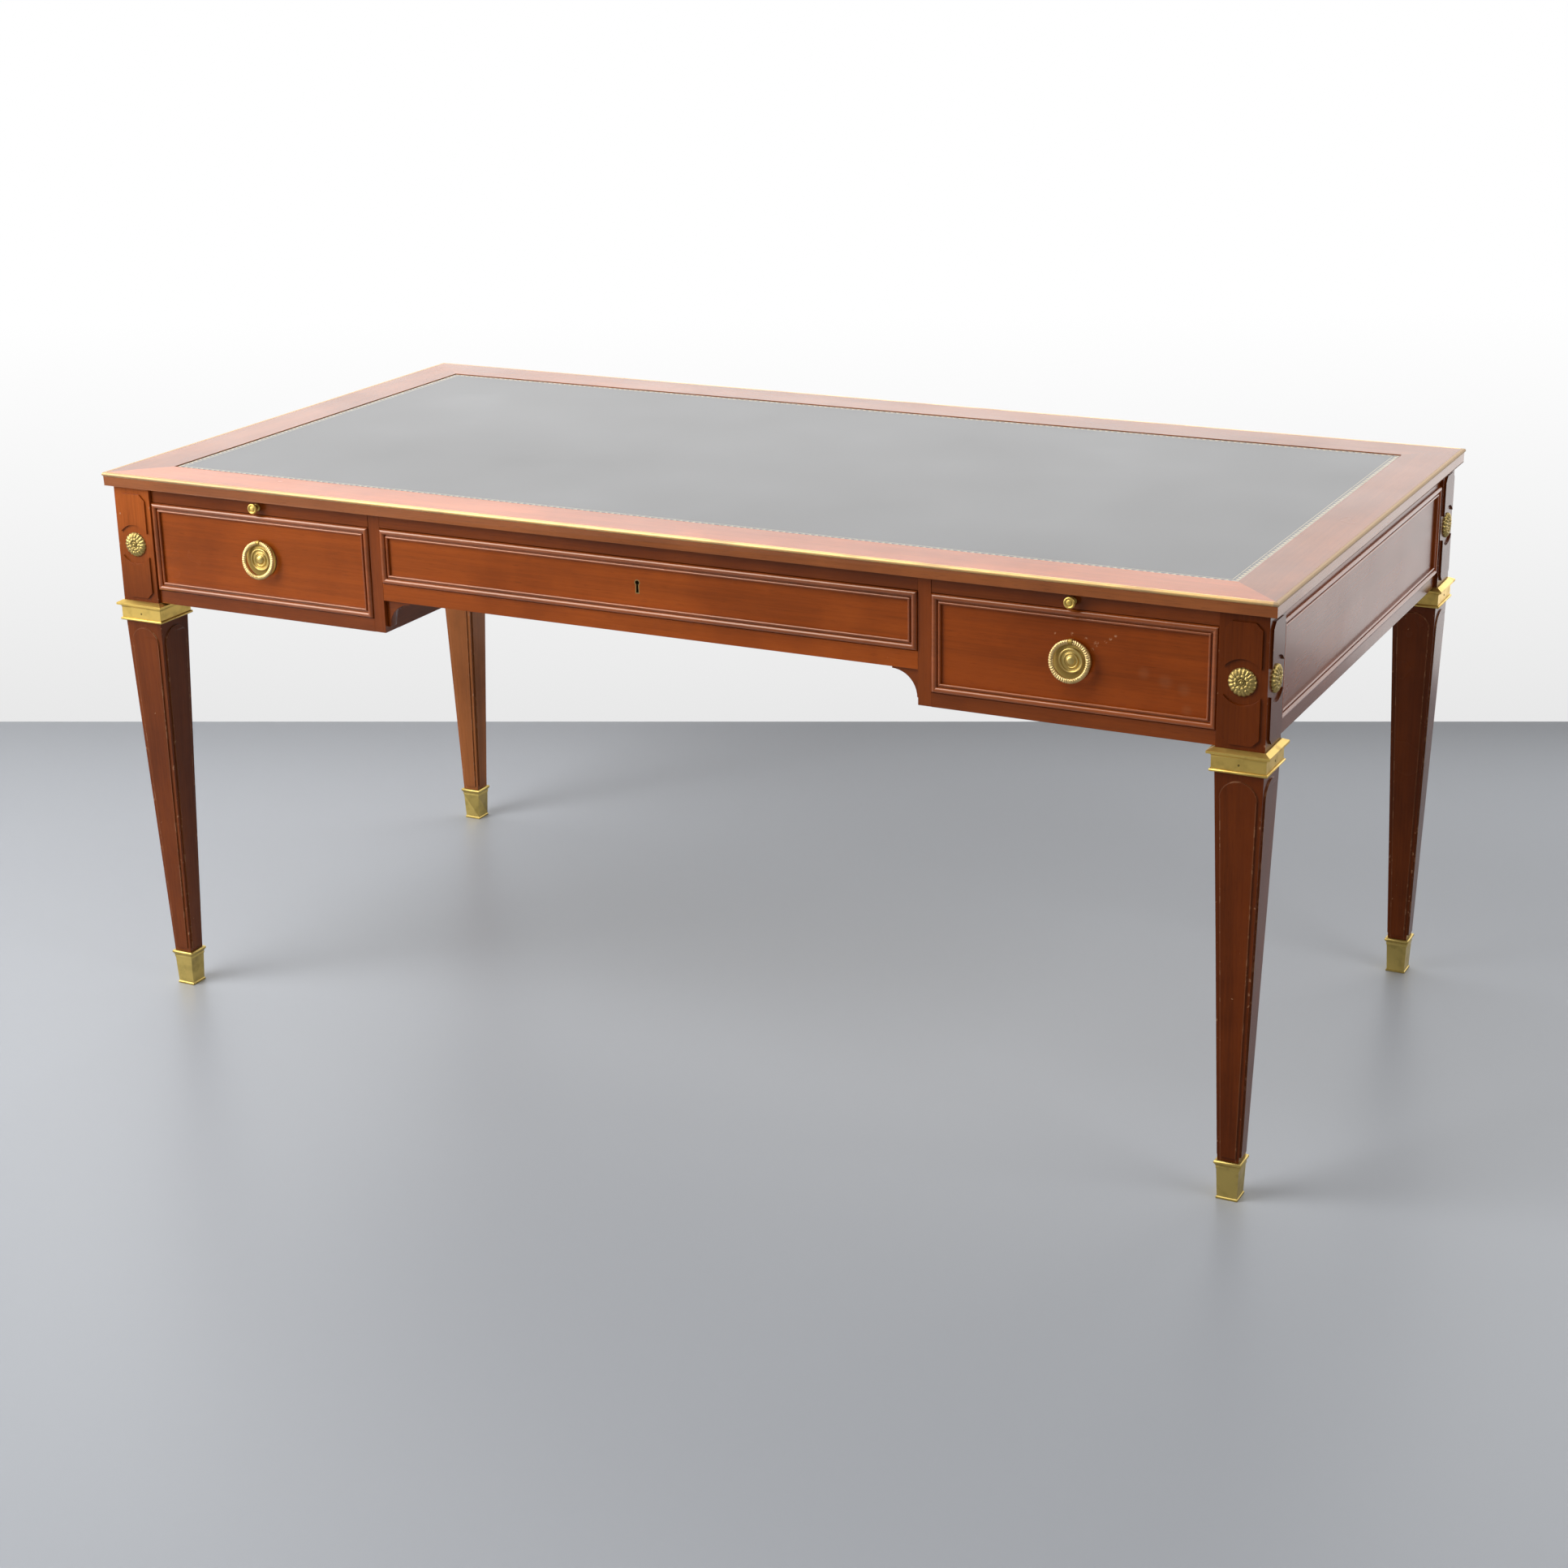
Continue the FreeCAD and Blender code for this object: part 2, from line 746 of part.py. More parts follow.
def tails(x, root, tip, z, count):
    """Row of dovetail tails through a side, wide at the tip."""
    pitch = (z[1] - z[0]) / count
    tip_half = (pitch - pin_width) / 2
    root_half = tip_half - abs(tip - root) * tail_slope
    row = []
    for index in range(count):
        middle = z[0] + pitch * (index + 0.5)
        outline = face(on_yz, (root, middle - root_half), (root, middle + root_half),
                       (tip, middle + tip_half), (tip, middle - tip_half))
        row.append(raised(outline, x[0], x[1], V(1, 0, 0)))
    return row


def drawer(x, z, side_z, tail_count):
    """Drawer boards: front, two dovetailed sides, back and a bottom held in grooves."""
    bottom_low = side_z[0] + drawer_bottom_rise
    bottom_z = (bottom_low, bottom_low + drawer_bottom_thickness)
    back_z = (bottom_z[1], side_z[1] - back_drop)
    back_root = drawer_end_y - drawer_back_thickness
    lap_tip = drawer_face_y + lap_thickness
    left_x = (x[0], x[0] + drawer_side_thickness)
    right_x = (x[1] - drawer_side_thickness, x[1])
    bottom = board((left_x[1] - groove_depth, right_x[0] + groove_depth),
                   (front_back_y - groove_depth, drawer_end_y), bottom_z)
    front = board(x, (drawer_face_y, front_back_y), z).cut(bottom)
    back = board(x, (back_root, drawer_end_y), back_z)
    flanks = []
    for flank_x in (left_x, right_x):
        flank = board(flank_x, (front_back_y, back_root), side_z)
        under_back = board(flank_x, (back_root, drawer_end_y), (side_z[0], back_z[0]))
        front_tails = tails(flank_x, front_back_y, lap_tip, (z[0], side_z[1]), tail_count)
        back_tails = tails(flank_x, back_root, drawer_end_y, back_z, tail_count)
        front = front.cut(front_tails)
        back = back.cut(back_tails)
        flanks.append(flank.fuse([under_back] + front_tails + back_tails).removeSplitter().cut(bottom))
    moulding = framed(x, z, 0, -drawer_face_y)
    return {"front": [front], "moulding": moulding, "sides": flanks, "back": [back], "bottom": [bottom]}


# Lock of the centre drawer

def keyhole(grow, near, far):
    """Keyhole-shaped rod: a round with a slot that widens downwards."""
    centre = V(0, near, keyhole_height + keyhole_rise)
    round_part = Part.makeCylinder(keyhole_radius + grow, far - near, centre, V(0, 1, 0))
    low = keyhole_height - keyhole_drop - grow
    foot = keyhole_foot_width / 2 + grow
    neck = keyhole_slot_width / 2 + grow
    slot = face(on_xz, (-foot, low), (foot, low), (neck, centre.z), (-neck, centre.z))
    return round_part.fuse(raised(slot, near, far, V(0, 1, 0)))


def keyhole_liner():
    near = drawer_face_y
    return keyhole(liner_wall, near, near + liner_depth).cut(keyhole(0, near, near + liner_depth))


def lock_body():
    """Outside of the lock, let into the back and the top edge of the drawer front."""
    top = center_drawer_z[1]
    x = (-lock_width / 2, lock_width / 2)
    case = board(x, (front_back_y - lock_thickness, front_back_y), (top - lock_height, top))
    selvage = board(x, (front_back_y - selvage_depth, front_back_y), (top - selvage_thickness, top))
    return case.fuse(selvage).removeSplitter()


def lock_case():
    top = center_drawer_z[1]
    return lock_body().cut(bolt_space(bolt_clearance, top - bolt_length - bolt_clearance, top))


def lock_bolt():
    top = center_drawer_z[1]
    return bolt_space(0, top - bolt_length, top)


def lock_front(front):
    """Drawer front with the lock's recess and the keyhole cut in."""
    near = drawer_face_y
    bored = front.cut(keyhole(liner_wall, near, near + liner_depth))
    return bored.cut(keyhole(0, near, front_back_y - lock_thickness)).cut(lock_body())


# Slides, knobs and pulls

def slide_x(side):
    return handed(side, *side_drawer_x)


def knob_place(side):
    return V(side * side_drawer_middle, -apron_face_y, (slide_bottom + slide_top) / 2)


def writing_slide(side):
    """Slide board with a front strip, bored for the knob's shank."""
    split = slide_front_depth - apron_face_y
    z = (slide_bottom, slide_top)
    strip = board(slide_x(side), (-apron_face_y, split), z)
    leaf = board(slide_x(side), (split, slide_length - apron_face_y), z)
    hole = Part.makeCylinder(knob_shank_radius + shank_clearance, knob_shank_length + shank_clearance,
                             knob_place(side), V(0, 1, 0))
    return [strip.cut(hole), leaf]


def slide_knob(side):
    """Brass knob with a rose, stem, round head and a grooved face, on a plain shank."""
    head = knob_length - knob_head_thickness
    middle = knob_length - knob_head_thickness / 2
    edge = knob_radius - knob_head_thickness / 4
    knob = turned(
        (0, -knob_shank_length), (knob_shank_radius, -knob_shank_length), (knob_shank_radius, 0),
        (knob_rose_radius, 0), (knob_rose_radius, knob_rose_height), (knob_stem_radius, knob_rose_height),
        (knob_stem_radius, head), (edge, head), ((knob_radius, middle), (edge, knob_length)),
        (knob_face_radius, knob_length), (knob_face_radius, knob_length - knob_face_groove),
        (0, knob_length - knob_face_groove))
    return upright(knob, 0, knob_place(side))


def pull_place(side):
    return V(side * side_drawer_middle, drawer_face_y, (side_drawer_z[0] + side_drawer_z[1]) / 2)


def pull_plate(side):
    """Round plate with a rimmed boss in the middle and a bored lug at the top."""
    rim_inner = boss_radius - boss_ring_width
    rim_crown = boss_radius - boss_ring_width / 2
    rim_base = boss_height - boss_ring_width / 2
    plate = turned(
        (0, 0), (plate_radius, 0), (plate_radius, plate_edge_height), (boss_radius, plate_dish_height),
        (boss_radius, rim_base), ((rim_crown, boss_height), (rim_inner, rim_base)),
        (rim_inner, boss_well_height), (boss_eye_radius, boss_well_height),
        dome(boss_eye_radius, boss_well_height, boss_eye_height))
    half = lug_width / 2
    end = V(-half, ring_radius, ring_stand_off)
    knuckle = Part.makeCylinder(lug_radius, lug_width, end, V(1, 0, 0))
    neck = board((-half, half), (ring_radius - lug_radius, ring_radius + lug_radius), (0, ring_stand_off))
    bore = Part.makeCylinder(pivot_radius + pivot_clearance, lug_width, end, V(1, 0, 0))
    return upright(plate.fuse([knuckle, neck]).cut(bore), 0, pull_place(side))


def pull_ring(side):
    """Ring that hangs a little forward, open at the top, where two short pivots enter the lug."""
    ring = Part.makeTorus(ring_radius, ring_section_radius, V(0, 0, ring_stand_off))
    gap = lug_width / 2 + lug_gap
    reach = 2 * ring_section_radius
    ring = ring.cut(board((-gap, gap), (ring_radius - reach, ring_radius + reach),
                          (ring_stand_off - reach, ring_stand_off + reach)))
    for way in (-1, 1):
        start = V(way * (gap - pivot_length), ring_radius, ring_stand_off)
        length = pivot_length + ring_section_radius
        ring = ring.fuse(Part.makeCylinder(pivot_radius, length, start, V(way, 0, 0)))
    ring.rotate(V(0, ring_radius, ring_stand_off), V(1, 0, 0), -ring_rest_tilt)
    return upright(ring, 0, pull_place(side))


# Build and write every piece

os.makedirs("parts", exist_ok=True)

save("top_core", top_core())
save("leather_inset", leather_inset())
save("top_border", *top_border())
save("brass_edge", *brass_edge())

side_panels = {side: side_panel(side) for _, side in sides}
bottom_rails = {side: bottom_rail(side) for _, side in sides}
back_side_panels = {side: back_side_panel(side) for _, side in sides}

foot_collar = collar()
foot_sabot = sabot()
for name, side, back in corners:
    joined = bottom_rails[side] if back < 0 else back_side_panels[side]
    save("leg_" + name, leg(side, back).cut([side_panels[side], joined]))
    for piece, shape in (("collar_", foot_collar), ("sabot_", foot_sabot)):
        placed = shape.copy()
        placed.translate(V(side * leg_x, back * leg_y, 0))
        save(piece + name, placed)
save("rosettes", *block_rosettes())

for name, side in sides:
    save("side_panel_" + name, side_panels[side])
    save("stile_" + name, stile(side))
    save("partition_" + name, partition(side))
save("side_mouldings", *side_mouldings())
save("bottom_rails", *bottom_rails.values())
back_middle = back_panel((-kneehole_half, kneehole_half), center_bottom, center_drawer_x, center_drawer_z)
save("back_panels", back_middle, *back_side_panels.values())
save("back_mouldings", *back_mouldings())
save("center_rail", center_rail())
save("top_rail", top_rail())
save("kneehole_brackets", *kneehole_brackets())
save("drawer_runners", *drawer_runners())
save("slide_bearers", *slide_bearers())
save("drawer_stops", *drawer_stops())
save("glue_blocks", *glue_blocks())

for name, side in sides:
    boards = drawer(handed(side, *side_drawer_x), side_drawer_z,
                    (bottom_rail_top + running_gap, bearer_bottom - kicker_gap), side_tail_count)
    for piece, solids in boards.items():
        save("drawer_%s_%s" % (name, piece), *solids)
    save("slide_" + name, *writing_slide(side))
    save("slide_knob_" + name, slide_knob(side))
    save("pull_plate_" + name, pull_plate(side))
    save("pull_ring_" + name, pull_ring(side))

center_boards = drawer(center_drawer_x, center_drawer_z,
                       (center_rail_top + running_gap, center_side_top), center_tail_count)
center_boards["front"] = [lock_front(center_boards["front"][0])]
for piece, solids in center_boards.items():
    save("drawer_center_" + piece, *solids)
save("lock_case", lock_case())
save("lock_bolt", lock_bolt())
save("keyhole_liner", keyhole_liner())
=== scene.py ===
# %% [markdown]
# A writing desk with a leather top, brass fittings, three drawers and two pull-out slides.
# The boards, legs and fittings come in as the solids of the part, each one on the body that moves it.
# This script gives every piece its finish, swaps the small cast fittings for finer ones,
# and sets up the floor, the light and the camera of the photograph.

# %% Load the solids of the desk
import bpy
import bmesh
import json
import math
from mathutils import Matrix, Vector


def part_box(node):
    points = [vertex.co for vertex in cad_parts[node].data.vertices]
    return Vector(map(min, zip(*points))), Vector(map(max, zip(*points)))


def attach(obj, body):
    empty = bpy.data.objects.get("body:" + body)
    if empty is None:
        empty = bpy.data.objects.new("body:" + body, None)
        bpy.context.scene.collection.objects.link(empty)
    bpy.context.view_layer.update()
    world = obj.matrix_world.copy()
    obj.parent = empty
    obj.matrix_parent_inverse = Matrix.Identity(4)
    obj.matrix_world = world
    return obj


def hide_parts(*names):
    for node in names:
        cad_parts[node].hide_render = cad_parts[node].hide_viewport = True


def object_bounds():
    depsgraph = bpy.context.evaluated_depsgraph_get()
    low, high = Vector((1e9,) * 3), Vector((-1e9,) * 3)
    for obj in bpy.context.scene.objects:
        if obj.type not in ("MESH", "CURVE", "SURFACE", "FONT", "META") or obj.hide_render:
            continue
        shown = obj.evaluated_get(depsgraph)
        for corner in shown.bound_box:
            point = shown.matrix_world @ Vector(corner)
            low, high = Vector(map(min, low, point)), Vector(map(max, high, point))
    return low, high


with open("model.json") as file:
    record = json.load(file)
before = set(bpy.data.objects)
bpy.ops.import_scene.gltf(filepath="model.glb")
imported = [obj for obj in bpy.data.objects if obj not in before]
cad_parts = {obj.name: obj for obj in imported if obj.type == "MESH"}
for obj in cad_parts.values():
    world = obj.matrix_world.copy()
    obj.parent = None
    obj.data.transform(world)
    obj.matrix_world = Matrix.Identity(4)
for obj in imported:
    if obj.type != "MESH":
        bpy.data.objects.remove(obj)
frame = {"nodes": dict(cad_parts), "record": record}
nodes = frame["nodes"]
cad_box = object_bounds()
print("solids:", len(nodes), "box:", [tuple(round(value, 4) for value in corner) for corner in cad_box])

# %% [markdown]
# Lengths on a desk are easiest to read in millimetres, while the scene is in metres.
# The main places are measured on the solids, so that they follow the part if its size changes.

# %% Places measured on the desk
mm = 0.001
desk_high = cad_box[1]
half_length = desk_high.x
half_depth = desk_high.y
leather_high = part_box("leather_inset")[1]
print("top:", round(2 * half_length, 3), "by", round(2 * half_depth, 3), "at", round(desk_high.z, 3))

# %% [markdown]
# A finish is a small tree of shader nodes. Writing each node in four lines would hide the idea,
# so one helper makes a node, sets its options and joins its inputs in a single call.

# %% Helpers for shader nodes
def new_finish(name):
    """Returns a material with a node tree, and its main shader."""
    finish = bpy.data.materials.new(name)
    finish.use_nodes = True
    return finish, finish.node_tree, finish.node_tree.nodes["Principled BSDF"]


def add(tree, kind, inputs=None, **options):
    """Adds one node. An input is a plain value, or the output of an earlier node."""
    node = tree.nodes.new("ShaderNode" + kind)
    for option, value in options.items():
        setattr(node, option, value)
    for socket, value in (inputs or {}).items():
        if isinstance(value, bpy.types.NodeSocket):
            tree.links.new(value, node.inputs[socket])
        else:
            node.inputs[socket].default_value = value
    return node


def calc(tree, operation, *values):
    """Adds one Math node and returns its result."""
    return add(tree, "Math", dict(enumerate(values)), operation=operation).outputs[0]


def fade(tree, value, low, high):
    """Turns a value into 0 below low and 1 above high, with a soft step between."""
    limits = {"Value": value, "From Min": low, "From Max": high}
    return add(tree, "MapRange", limits, interpolation_type="SMOOTHSTEP").outputs["Result"]


def blend_colour(tree, factor, first, second, mode="MIX"):
    """Mixes two colours and returns the result."""
    mix = add(tree, "Mix", data_type="RGBA", blend_type=mode)
    for socket, value in ((0, factor), (6, first), (7, second)):
        if isinstance(value, bpy.types.NodeSocket):
            tree.links.new(value, mix.inputs[socket])
        else:
            mix.inputs[socket].default_value = value if socket == 0 else (*value, 1)
    return mix.outputs[2]


# %% [markdown]
# The wood is red-brown mahogany under a shellac polish. Its figure is long: slow ribbons of lighter
# and darker red, fine fibres, and short dark pores, all along the board. Noise that is squeezed along
# one axis gives each of them. The polish could be a second surface, but a weak clear coat on the same
# shader is enough, because it only sharpens the reflections a little.

# %% Figure of the wood
patina_shade = (0.62, 0.56, 0.50)


def noise(tree, place, scale=1.0, detail=3.0, **more):
    """Adds a noise texture and returns its grey value."""
    inputs = {"Vector": place, "Scale": scale, "Detail": detail, **more}
    return add(tree, "TexNoise", inputs).outputs["Fac"]


def stretched(tree, place, grain, along, across):
    """Object coordinates, scaled so that a noise comes out long in the direction of the grain."""
    scale = [across, across, across]
    scale["XYZ".index(grain)] = along
    return add(tree, "Mapping", {"Vector": place, "Scale": scale}).outputs["Vector"]


def wood_figure(tree, place, grain, tone, contrast):
    """Returns the colour of the bare wood, and its fibres for bump and gloss."""
    broad = stretched(tree, place, grain, 1.3, 24.0)
    fine = stretched(tree, place, grain, 9.0, 420.0)
    short = stretched(tree, place, grain, 60.0, 1400.0)
    ribbon = noise(tree, broad, Distortion=0.6)
    fibre = noise(tree, fine)
    pore = noise(tree, short, detail=1.0)
    figure = calc(tree, "ADD", calc(tree, "MULTIPLY", ribbon, 0.65), calc(tree, "MULTIPLY", fibre, 0.35))
    dark = [value * (1 - contrast) for value in tone]
    light = [value * (1 + contrast) for value in tone]
    colour = blend_colour(tree, fade(tree, figure, 0.34, 0.66), dark, light)
    patina = noise(tree, place, 5.0, 4.0, Roughness=0.6)
    dulled = calc(tree, "SUBTRACT", 1.0, fade(tree, patina, 0.36, 0.60))
    patina_share = calc(tree, "MULTIPLY", dulled, 0.55)
    colour = blend_colour(tree, patina_share, colour, patina_shade, "MULTIPLY")
    pore_mark = calc(tree, "MULTIPLY", fade(tree, pore, 0.62, 0.72), 0.35)
    shade = [value * 0.35 for value in tone]
    return blend_colour(tree, pore_mark, colour, shade), fibre


def scatter(tree, place, size, share):
    """1 on small irregular specks, 0 elsewhere. A larger share gives more of them, size spaces them."""
    specks = noise(tree, place, 1 / size, 4.0, Roughness=0.65)
    level = 0.5 + 0.24 * (1 - share)
    return fade(tree, specks, level, level + 0.03)


# %% [markdown]
# Every mahogany board shares that figure, and differs in tone, in the way the grain runs and in wear.
# A few tones are lighter or darker copies of one wood, as painted light and painted shade.
# The drawers and rails are the redder, lighter wood, and the legs are clearly darker in the photograph.
# Old polish is never even, so a slow noise moves the roughness between worn and bright.

# %% Mahogany finish
# Pale colour of bare wood in chips and scuffs. On the legs it also paints a highlight along the edges of
# the fields.
raw_wood_and_highlight = (0.48, 0.25, 0.13)
shellac_tint = (1.0, 0.80, 0.64, 1)


def mahogany(name, tone, grain, contrast=0.16, place_of=None, marks_of=None,
             light_of=None, lighter=(1, 1, 1), gloss=0.24, coat=0.2, rubbed=(0.16, 0.32)):
    """Polished wood. place_of may turn the grain, marks_of masks wear and the legs' painted highlight,
    light_of masks lighter colour: bleached wood on the border, painted light on the front left leg.
    """
    finish, tree, shader = new_finish(name)
    place = add(tree, "TexCoord").outputs["Object"]
    grain_place = place_of(tree, place) if place_of else place
    colour, fibre = wood_figure(tree, grain_place, grain, tone, contrast)
    if light_of:
        colour = blend_colour(tree, light_of(tree, place), colour, lighter, "MULTIPLY")
    if marks_of:
        colour = blend_colour(tree, marks_of(tree, place), colour, raw_wood_and_highlight)
    tree.links.new(colour, shader.inputs["Base Color"])
    cloud = noise(tree, place, 7.0)
    worn = add(tree, "MapRange", {"Value": cloud, "To Min": rubbed[0], "To Max": rubbed[1]})
    tree.links.new(worn.outputs["Result"], shader.inputs["Roughness"])
    bump = add(tree, "Bump", {"Height": fibre, "Strength": 0.05, "Distance": 0.1 * mm}).outputs["Normal"]
    tree.links.new(bump, shader.inputs["Normal"])
    shader.inputs["Specular IOR Level"].default_value = gloss
    shader.inputs["Specular Tint"].default_value = shellac_tint
    shader.inputs["Coat Weight"].default_value = coat
    shader.inputs["Coat Roughness"].default_value = 0.08
    return finish


drawer_tone = (0.300, 0.061, 0.007)
moulding_tone = (0.270, 0.055, 0.005)
rail_tone = (0.195, 0.039, 0.004)
leg_tone = (0.130, 0.025, 0.003)
drawer_shine = {"gloss": 0.20, "coat": 0.1}
drawer_wood = mahogany("mahogany_drawer", drawer_tone, "X", **drawer_shine)
rail_wood = mahogany("mahogany_rail", rail_tone, "X")
side_wood = mahogany("mahogany_side", rail_tone, "Y", gloss=0.20, coat=0.08)
moulding_shine = {"gloss": 1.0, "coat": 0.2, "rubbed": (0.20, 0.28)}
drawer_moulding_wood = mahogany("mahogany_moulding", moulding_tone, "X", **moulding_shine)
side_moulding_wood = mahogany("mahogany_side_moulding", moulding_tone, "Y", gloss=0.5, coat=0.2)
stile_wood = mahogany("mahogany_stile", rail_tone, "Z")
print("wood finishes:", [finish.name for finish in (drawer_wood, rail_wood, side_wood, stile_wood)])

# %% [markdown]
# The border of the top is four boards, mitred at the corners, and the grain follows each board.
# The four solids share one finish, so the finish itself finds the mitre: beyond the diagonal, where a
# point is nearer to an end than to a long side, X and Y change places. The front board is a little
# lighter than the others, which shows the joint. Hands and sleeves have rubbed the upper face dull, and
# the upright edges have kept their polish.

# %% Mitred border of the top
end_shift = half_length - half_depth


def past_mitre(tree, place):
    """How far a point lies beyond the diagonal of the nearest corner, towards the end of the desk."""
    axes = add(tree, "SeparateXYZ", {"Vector": place}).outputs
    along = calc(tree, "ABSOLUTE", axes["X"])
    deep = calc(tree, "ABSOLUTE", axes["Y"])
    return calc(tree, "SUBTRACT", calc(tree, "SUBTRACT", along, deep), end_shift)


def border_grain(tree, place):
    """Coordinates whose X runs along the board of the border that a point lies on."""
    axes = add(tree, "SeparateXYZ", {"Vector": place}).outputs
    turned = add(tree, "CombineXYZ", {"X": axes["Y"], "Y": axes["X"], "Z": axes["Z"]}).outputs["Vector"]
    on_end = calc(tree, "GREATER_THAN", past_mitre(tree, place), 0.0)
    choice = add(tree, "Mix", data_type="VECTOR")
    tree.links.new(on_end, choice.inputs["Factor"])
    tree.links.new(place, choice.inputs[4])
    tree.links.new(turned, choice.inputs[5])
    return choice.outputs[1]


def on_top(tree, place):
    """1 on the upper face of the border, 0 on its upright edges."""
    axes = add(tree, "SeparateXYZ", {"Vector": place}).outputs
    return calc(tree, "GREATER_THAN", axes["Z"], desk_high.z - 2 * mm)


def front_board(tree, place):
    """1 on the top of the front board, which has bleached to a lighter and more orange tone."""
    axes = add(tree, "SeparateXYZ", {"Vector": place}).outputs
    in_front = calc(tree, "LESS_THAN", axes["Y"], 0.0)
    before_mitre = calc(tree, "LESS_THAN", past_mitre(tree, place), 0.0)
    return calc(tree, "MULTIPLY", calc(tree, "MULTIPLY", in_front, on_top(tree, place)), before_mitre)


border_tone = (0.28, 0.080, 0.019)
top_gloss = 0.13
edge_gloss = 0.8
border_wood = mahogany(
    "mahogany_border", border_tone, "X", contrast=0.13, place_of=border_grain,
    light_of=front_board, lighter=(1.7, 1.45, 1.2), coat=0.03)
tree = border_wood.node_tree
on_upper_face = on_top(tree, add(tree, "TexCoord").outputs["Object"])
levels = {"Value": on_upper_face, "To Min": edge_gloss, "To Max": top_gloss}
gloss = add(tree, "MapRange", levels).outputs["Result"]
tree.links.new(gloss, tree.nodes["Principled BSDF"].inputs["Specular IOR Level"])
print("border: ends begin", round(end_shift, 4), "from the middle")

# %% [markdown]
# The legs carry the most wear: pale chips along their four corners, a pale line round each raised
# field, and a few specks on the faces. The line is partly rubbed polish and partly a painted highlight
# on the field's edge. The front left and back left legs are lighter copies of the leg wood, and the
# front left block lightens towards its top: painted light, where more light falls.
# The corners are found by arithmetic. The leg tapers evenly, so its half width is known at each
# height, and a point that is that far from the leg's axis both ways lies on a corner.

# %% Worn legs, with painted light and a painted highlight
collar_low, collar_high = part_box("collar_front_right")
sabot_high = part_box("sabot_front_right")[1]
leg_axis = ((collar_low.x + collar_high.x) / 2, -(collar_low.y + collar_high.y) / 2)
leg_top_half = 29.5 * mm
leg_foot_half = 13.5 * mm
field_strip_top = 7.0 * mm
field_strip_foot = 4.0 * mm
arch_half = leg_top_half - field_strip_top
arch_spring = collar_low.z - 10.0 * mm - arch_half
line_reach = 1.1 * mm


def on_leg_face(tree, place):
    """The way across a leg face from its middle, the half width there, and the height."""
    axes = add(tree, "SeparateXYZ", {"Vector": place}).outputs
    sideways = []
    for axis, middle in (("X", leg_axis[0]), ("Y", leg_axis[1])):
        from_plane = calc(tree, "SUBTRACT", calc(tree, "ABSOLUTE", axes[axis]), middle)
        sideways.append(calc(tree, "ABSOLUTE", from_plane))
    half = add(tree, "MapRange", {
        "Value": axes["Z"], "From Min": sabot_high.z, "From Max": collar_low.z,
        "To Min": leg_foot_half, "To Max": leg_top_half}).outputs["Result"]
    return calc(tree, "MINIMUM", *sideways), half, axes["Z"]


def near(tree, value, width):
    """1 where a value is close to zero, fading out at a width."""
    return calc(tree, "SUBTRACT", 1.0, fade(tree, calc(tree, "ABSOLUTE", value), 0.3 * width, width))


def from_point(tree, across, up):
    """Distance that belongs to a way across and a way up."""
    squares = calc(tree, "ADD", calc(tree, "POWER", across, 2.0), calc(tree, "POWER", up, 2.0))
    return calc(tree, "SQRT", squares)


def rubbed_and_highlit_field_line(tree, across, half, height):
    """1 along the edge of the raised field, on two straight sides and the arch over them: a pale line that
    is partly rubbed polish and partly a painted highlight of the edge.
    """
    strip = add(tree, "MapRange", {
        "Value": height, "From Min": sabot_high.z, "From Max": collar_low.z,
        "To Min": field_strip_foot, "To Max": field_strip_top}).outputs["Result"]
    side = calc(tree, "SUBTRACT", calc(tree, "SUBTRACT", half, across), strip)
    over_spring = calc(tree, "SUBTRACT", height, arch_spring)
    arch = calc(tree, "SUBTRACT", from_point(tree, across, over_spring), arch_half)
    in_arch = calc(tree, "GREATER_THAN", over_spring, 0.0)
    below_arch = calc(tree, "SUBTRACT", 1.0, in_arch)
    on_sides = calc(tree, "MULTIPLY", near(tree, side, line_reach), below_arch)
    on_arch = calc(tree, "MULTIPLY", near(tree, arch, line_reach), in_arch)
    return calc(tree, "ADD", on_sides, on_arch)


def leg_wear_and_highlight(tree, place):
    """Chips close to the corners, a pale line round each field, partly rubbed and partly a painted
    highlight, and fewer specks on the faces.
    """
    across, half, height = on_leg_face(tree, place)
    from_corner = calc(tree, "SUBTRACT", half, across)
    edge = calc(tree, "SUBTRACT", 1.0, fade(tree, from_corner, 0.6 * mm, 3.0 * mm))
    chips = calc(tree, "MULTIPLY", calc(tree, "MULTIPLY", edge, 0.5), scatter(tree, place, 10 * mm, 0.5))
    line = calc(tree, "MULTIPLY", rubbed_and_highlit_field_line(tree, across, half, height), 0.22)
    uneven = calc(tree, "ADD", 0.5, scatter(tree, place, 18 * mm, 0.8))
    rubbed_and_highlit_line = calc(tree, "MULTIPLY", line, uneven)
    specks = calc(tree, "MULTIPLY", scatter(tree, place, 12 * mm, 0.12), 0.7)
    return calc(tree, "MAXIMUM", chips, calc(tree, "MAXIMUM", rubbed_and_highlit_line, specks))


def painted_block_light(tree, place):
    """Painted light: rises from the collar to the top of the block, which comes out lighter where more
    light falls.
    """
    axes = add(tree, "SeparateXYZ", {"Vector": place}).outputs
    return fade(tree, axes["Z"], collar_high.z - 10 * mm, collar_high.z + 130 * mm)


leg_shine = {"gloss": 0.15, "coat": 0.1}
# Painted light: the front left leg is a lighter copy of the leg wood, and its block lightens further
# towards the top.
lit_front_left_tone = (0.150, 0.032, 0.005)
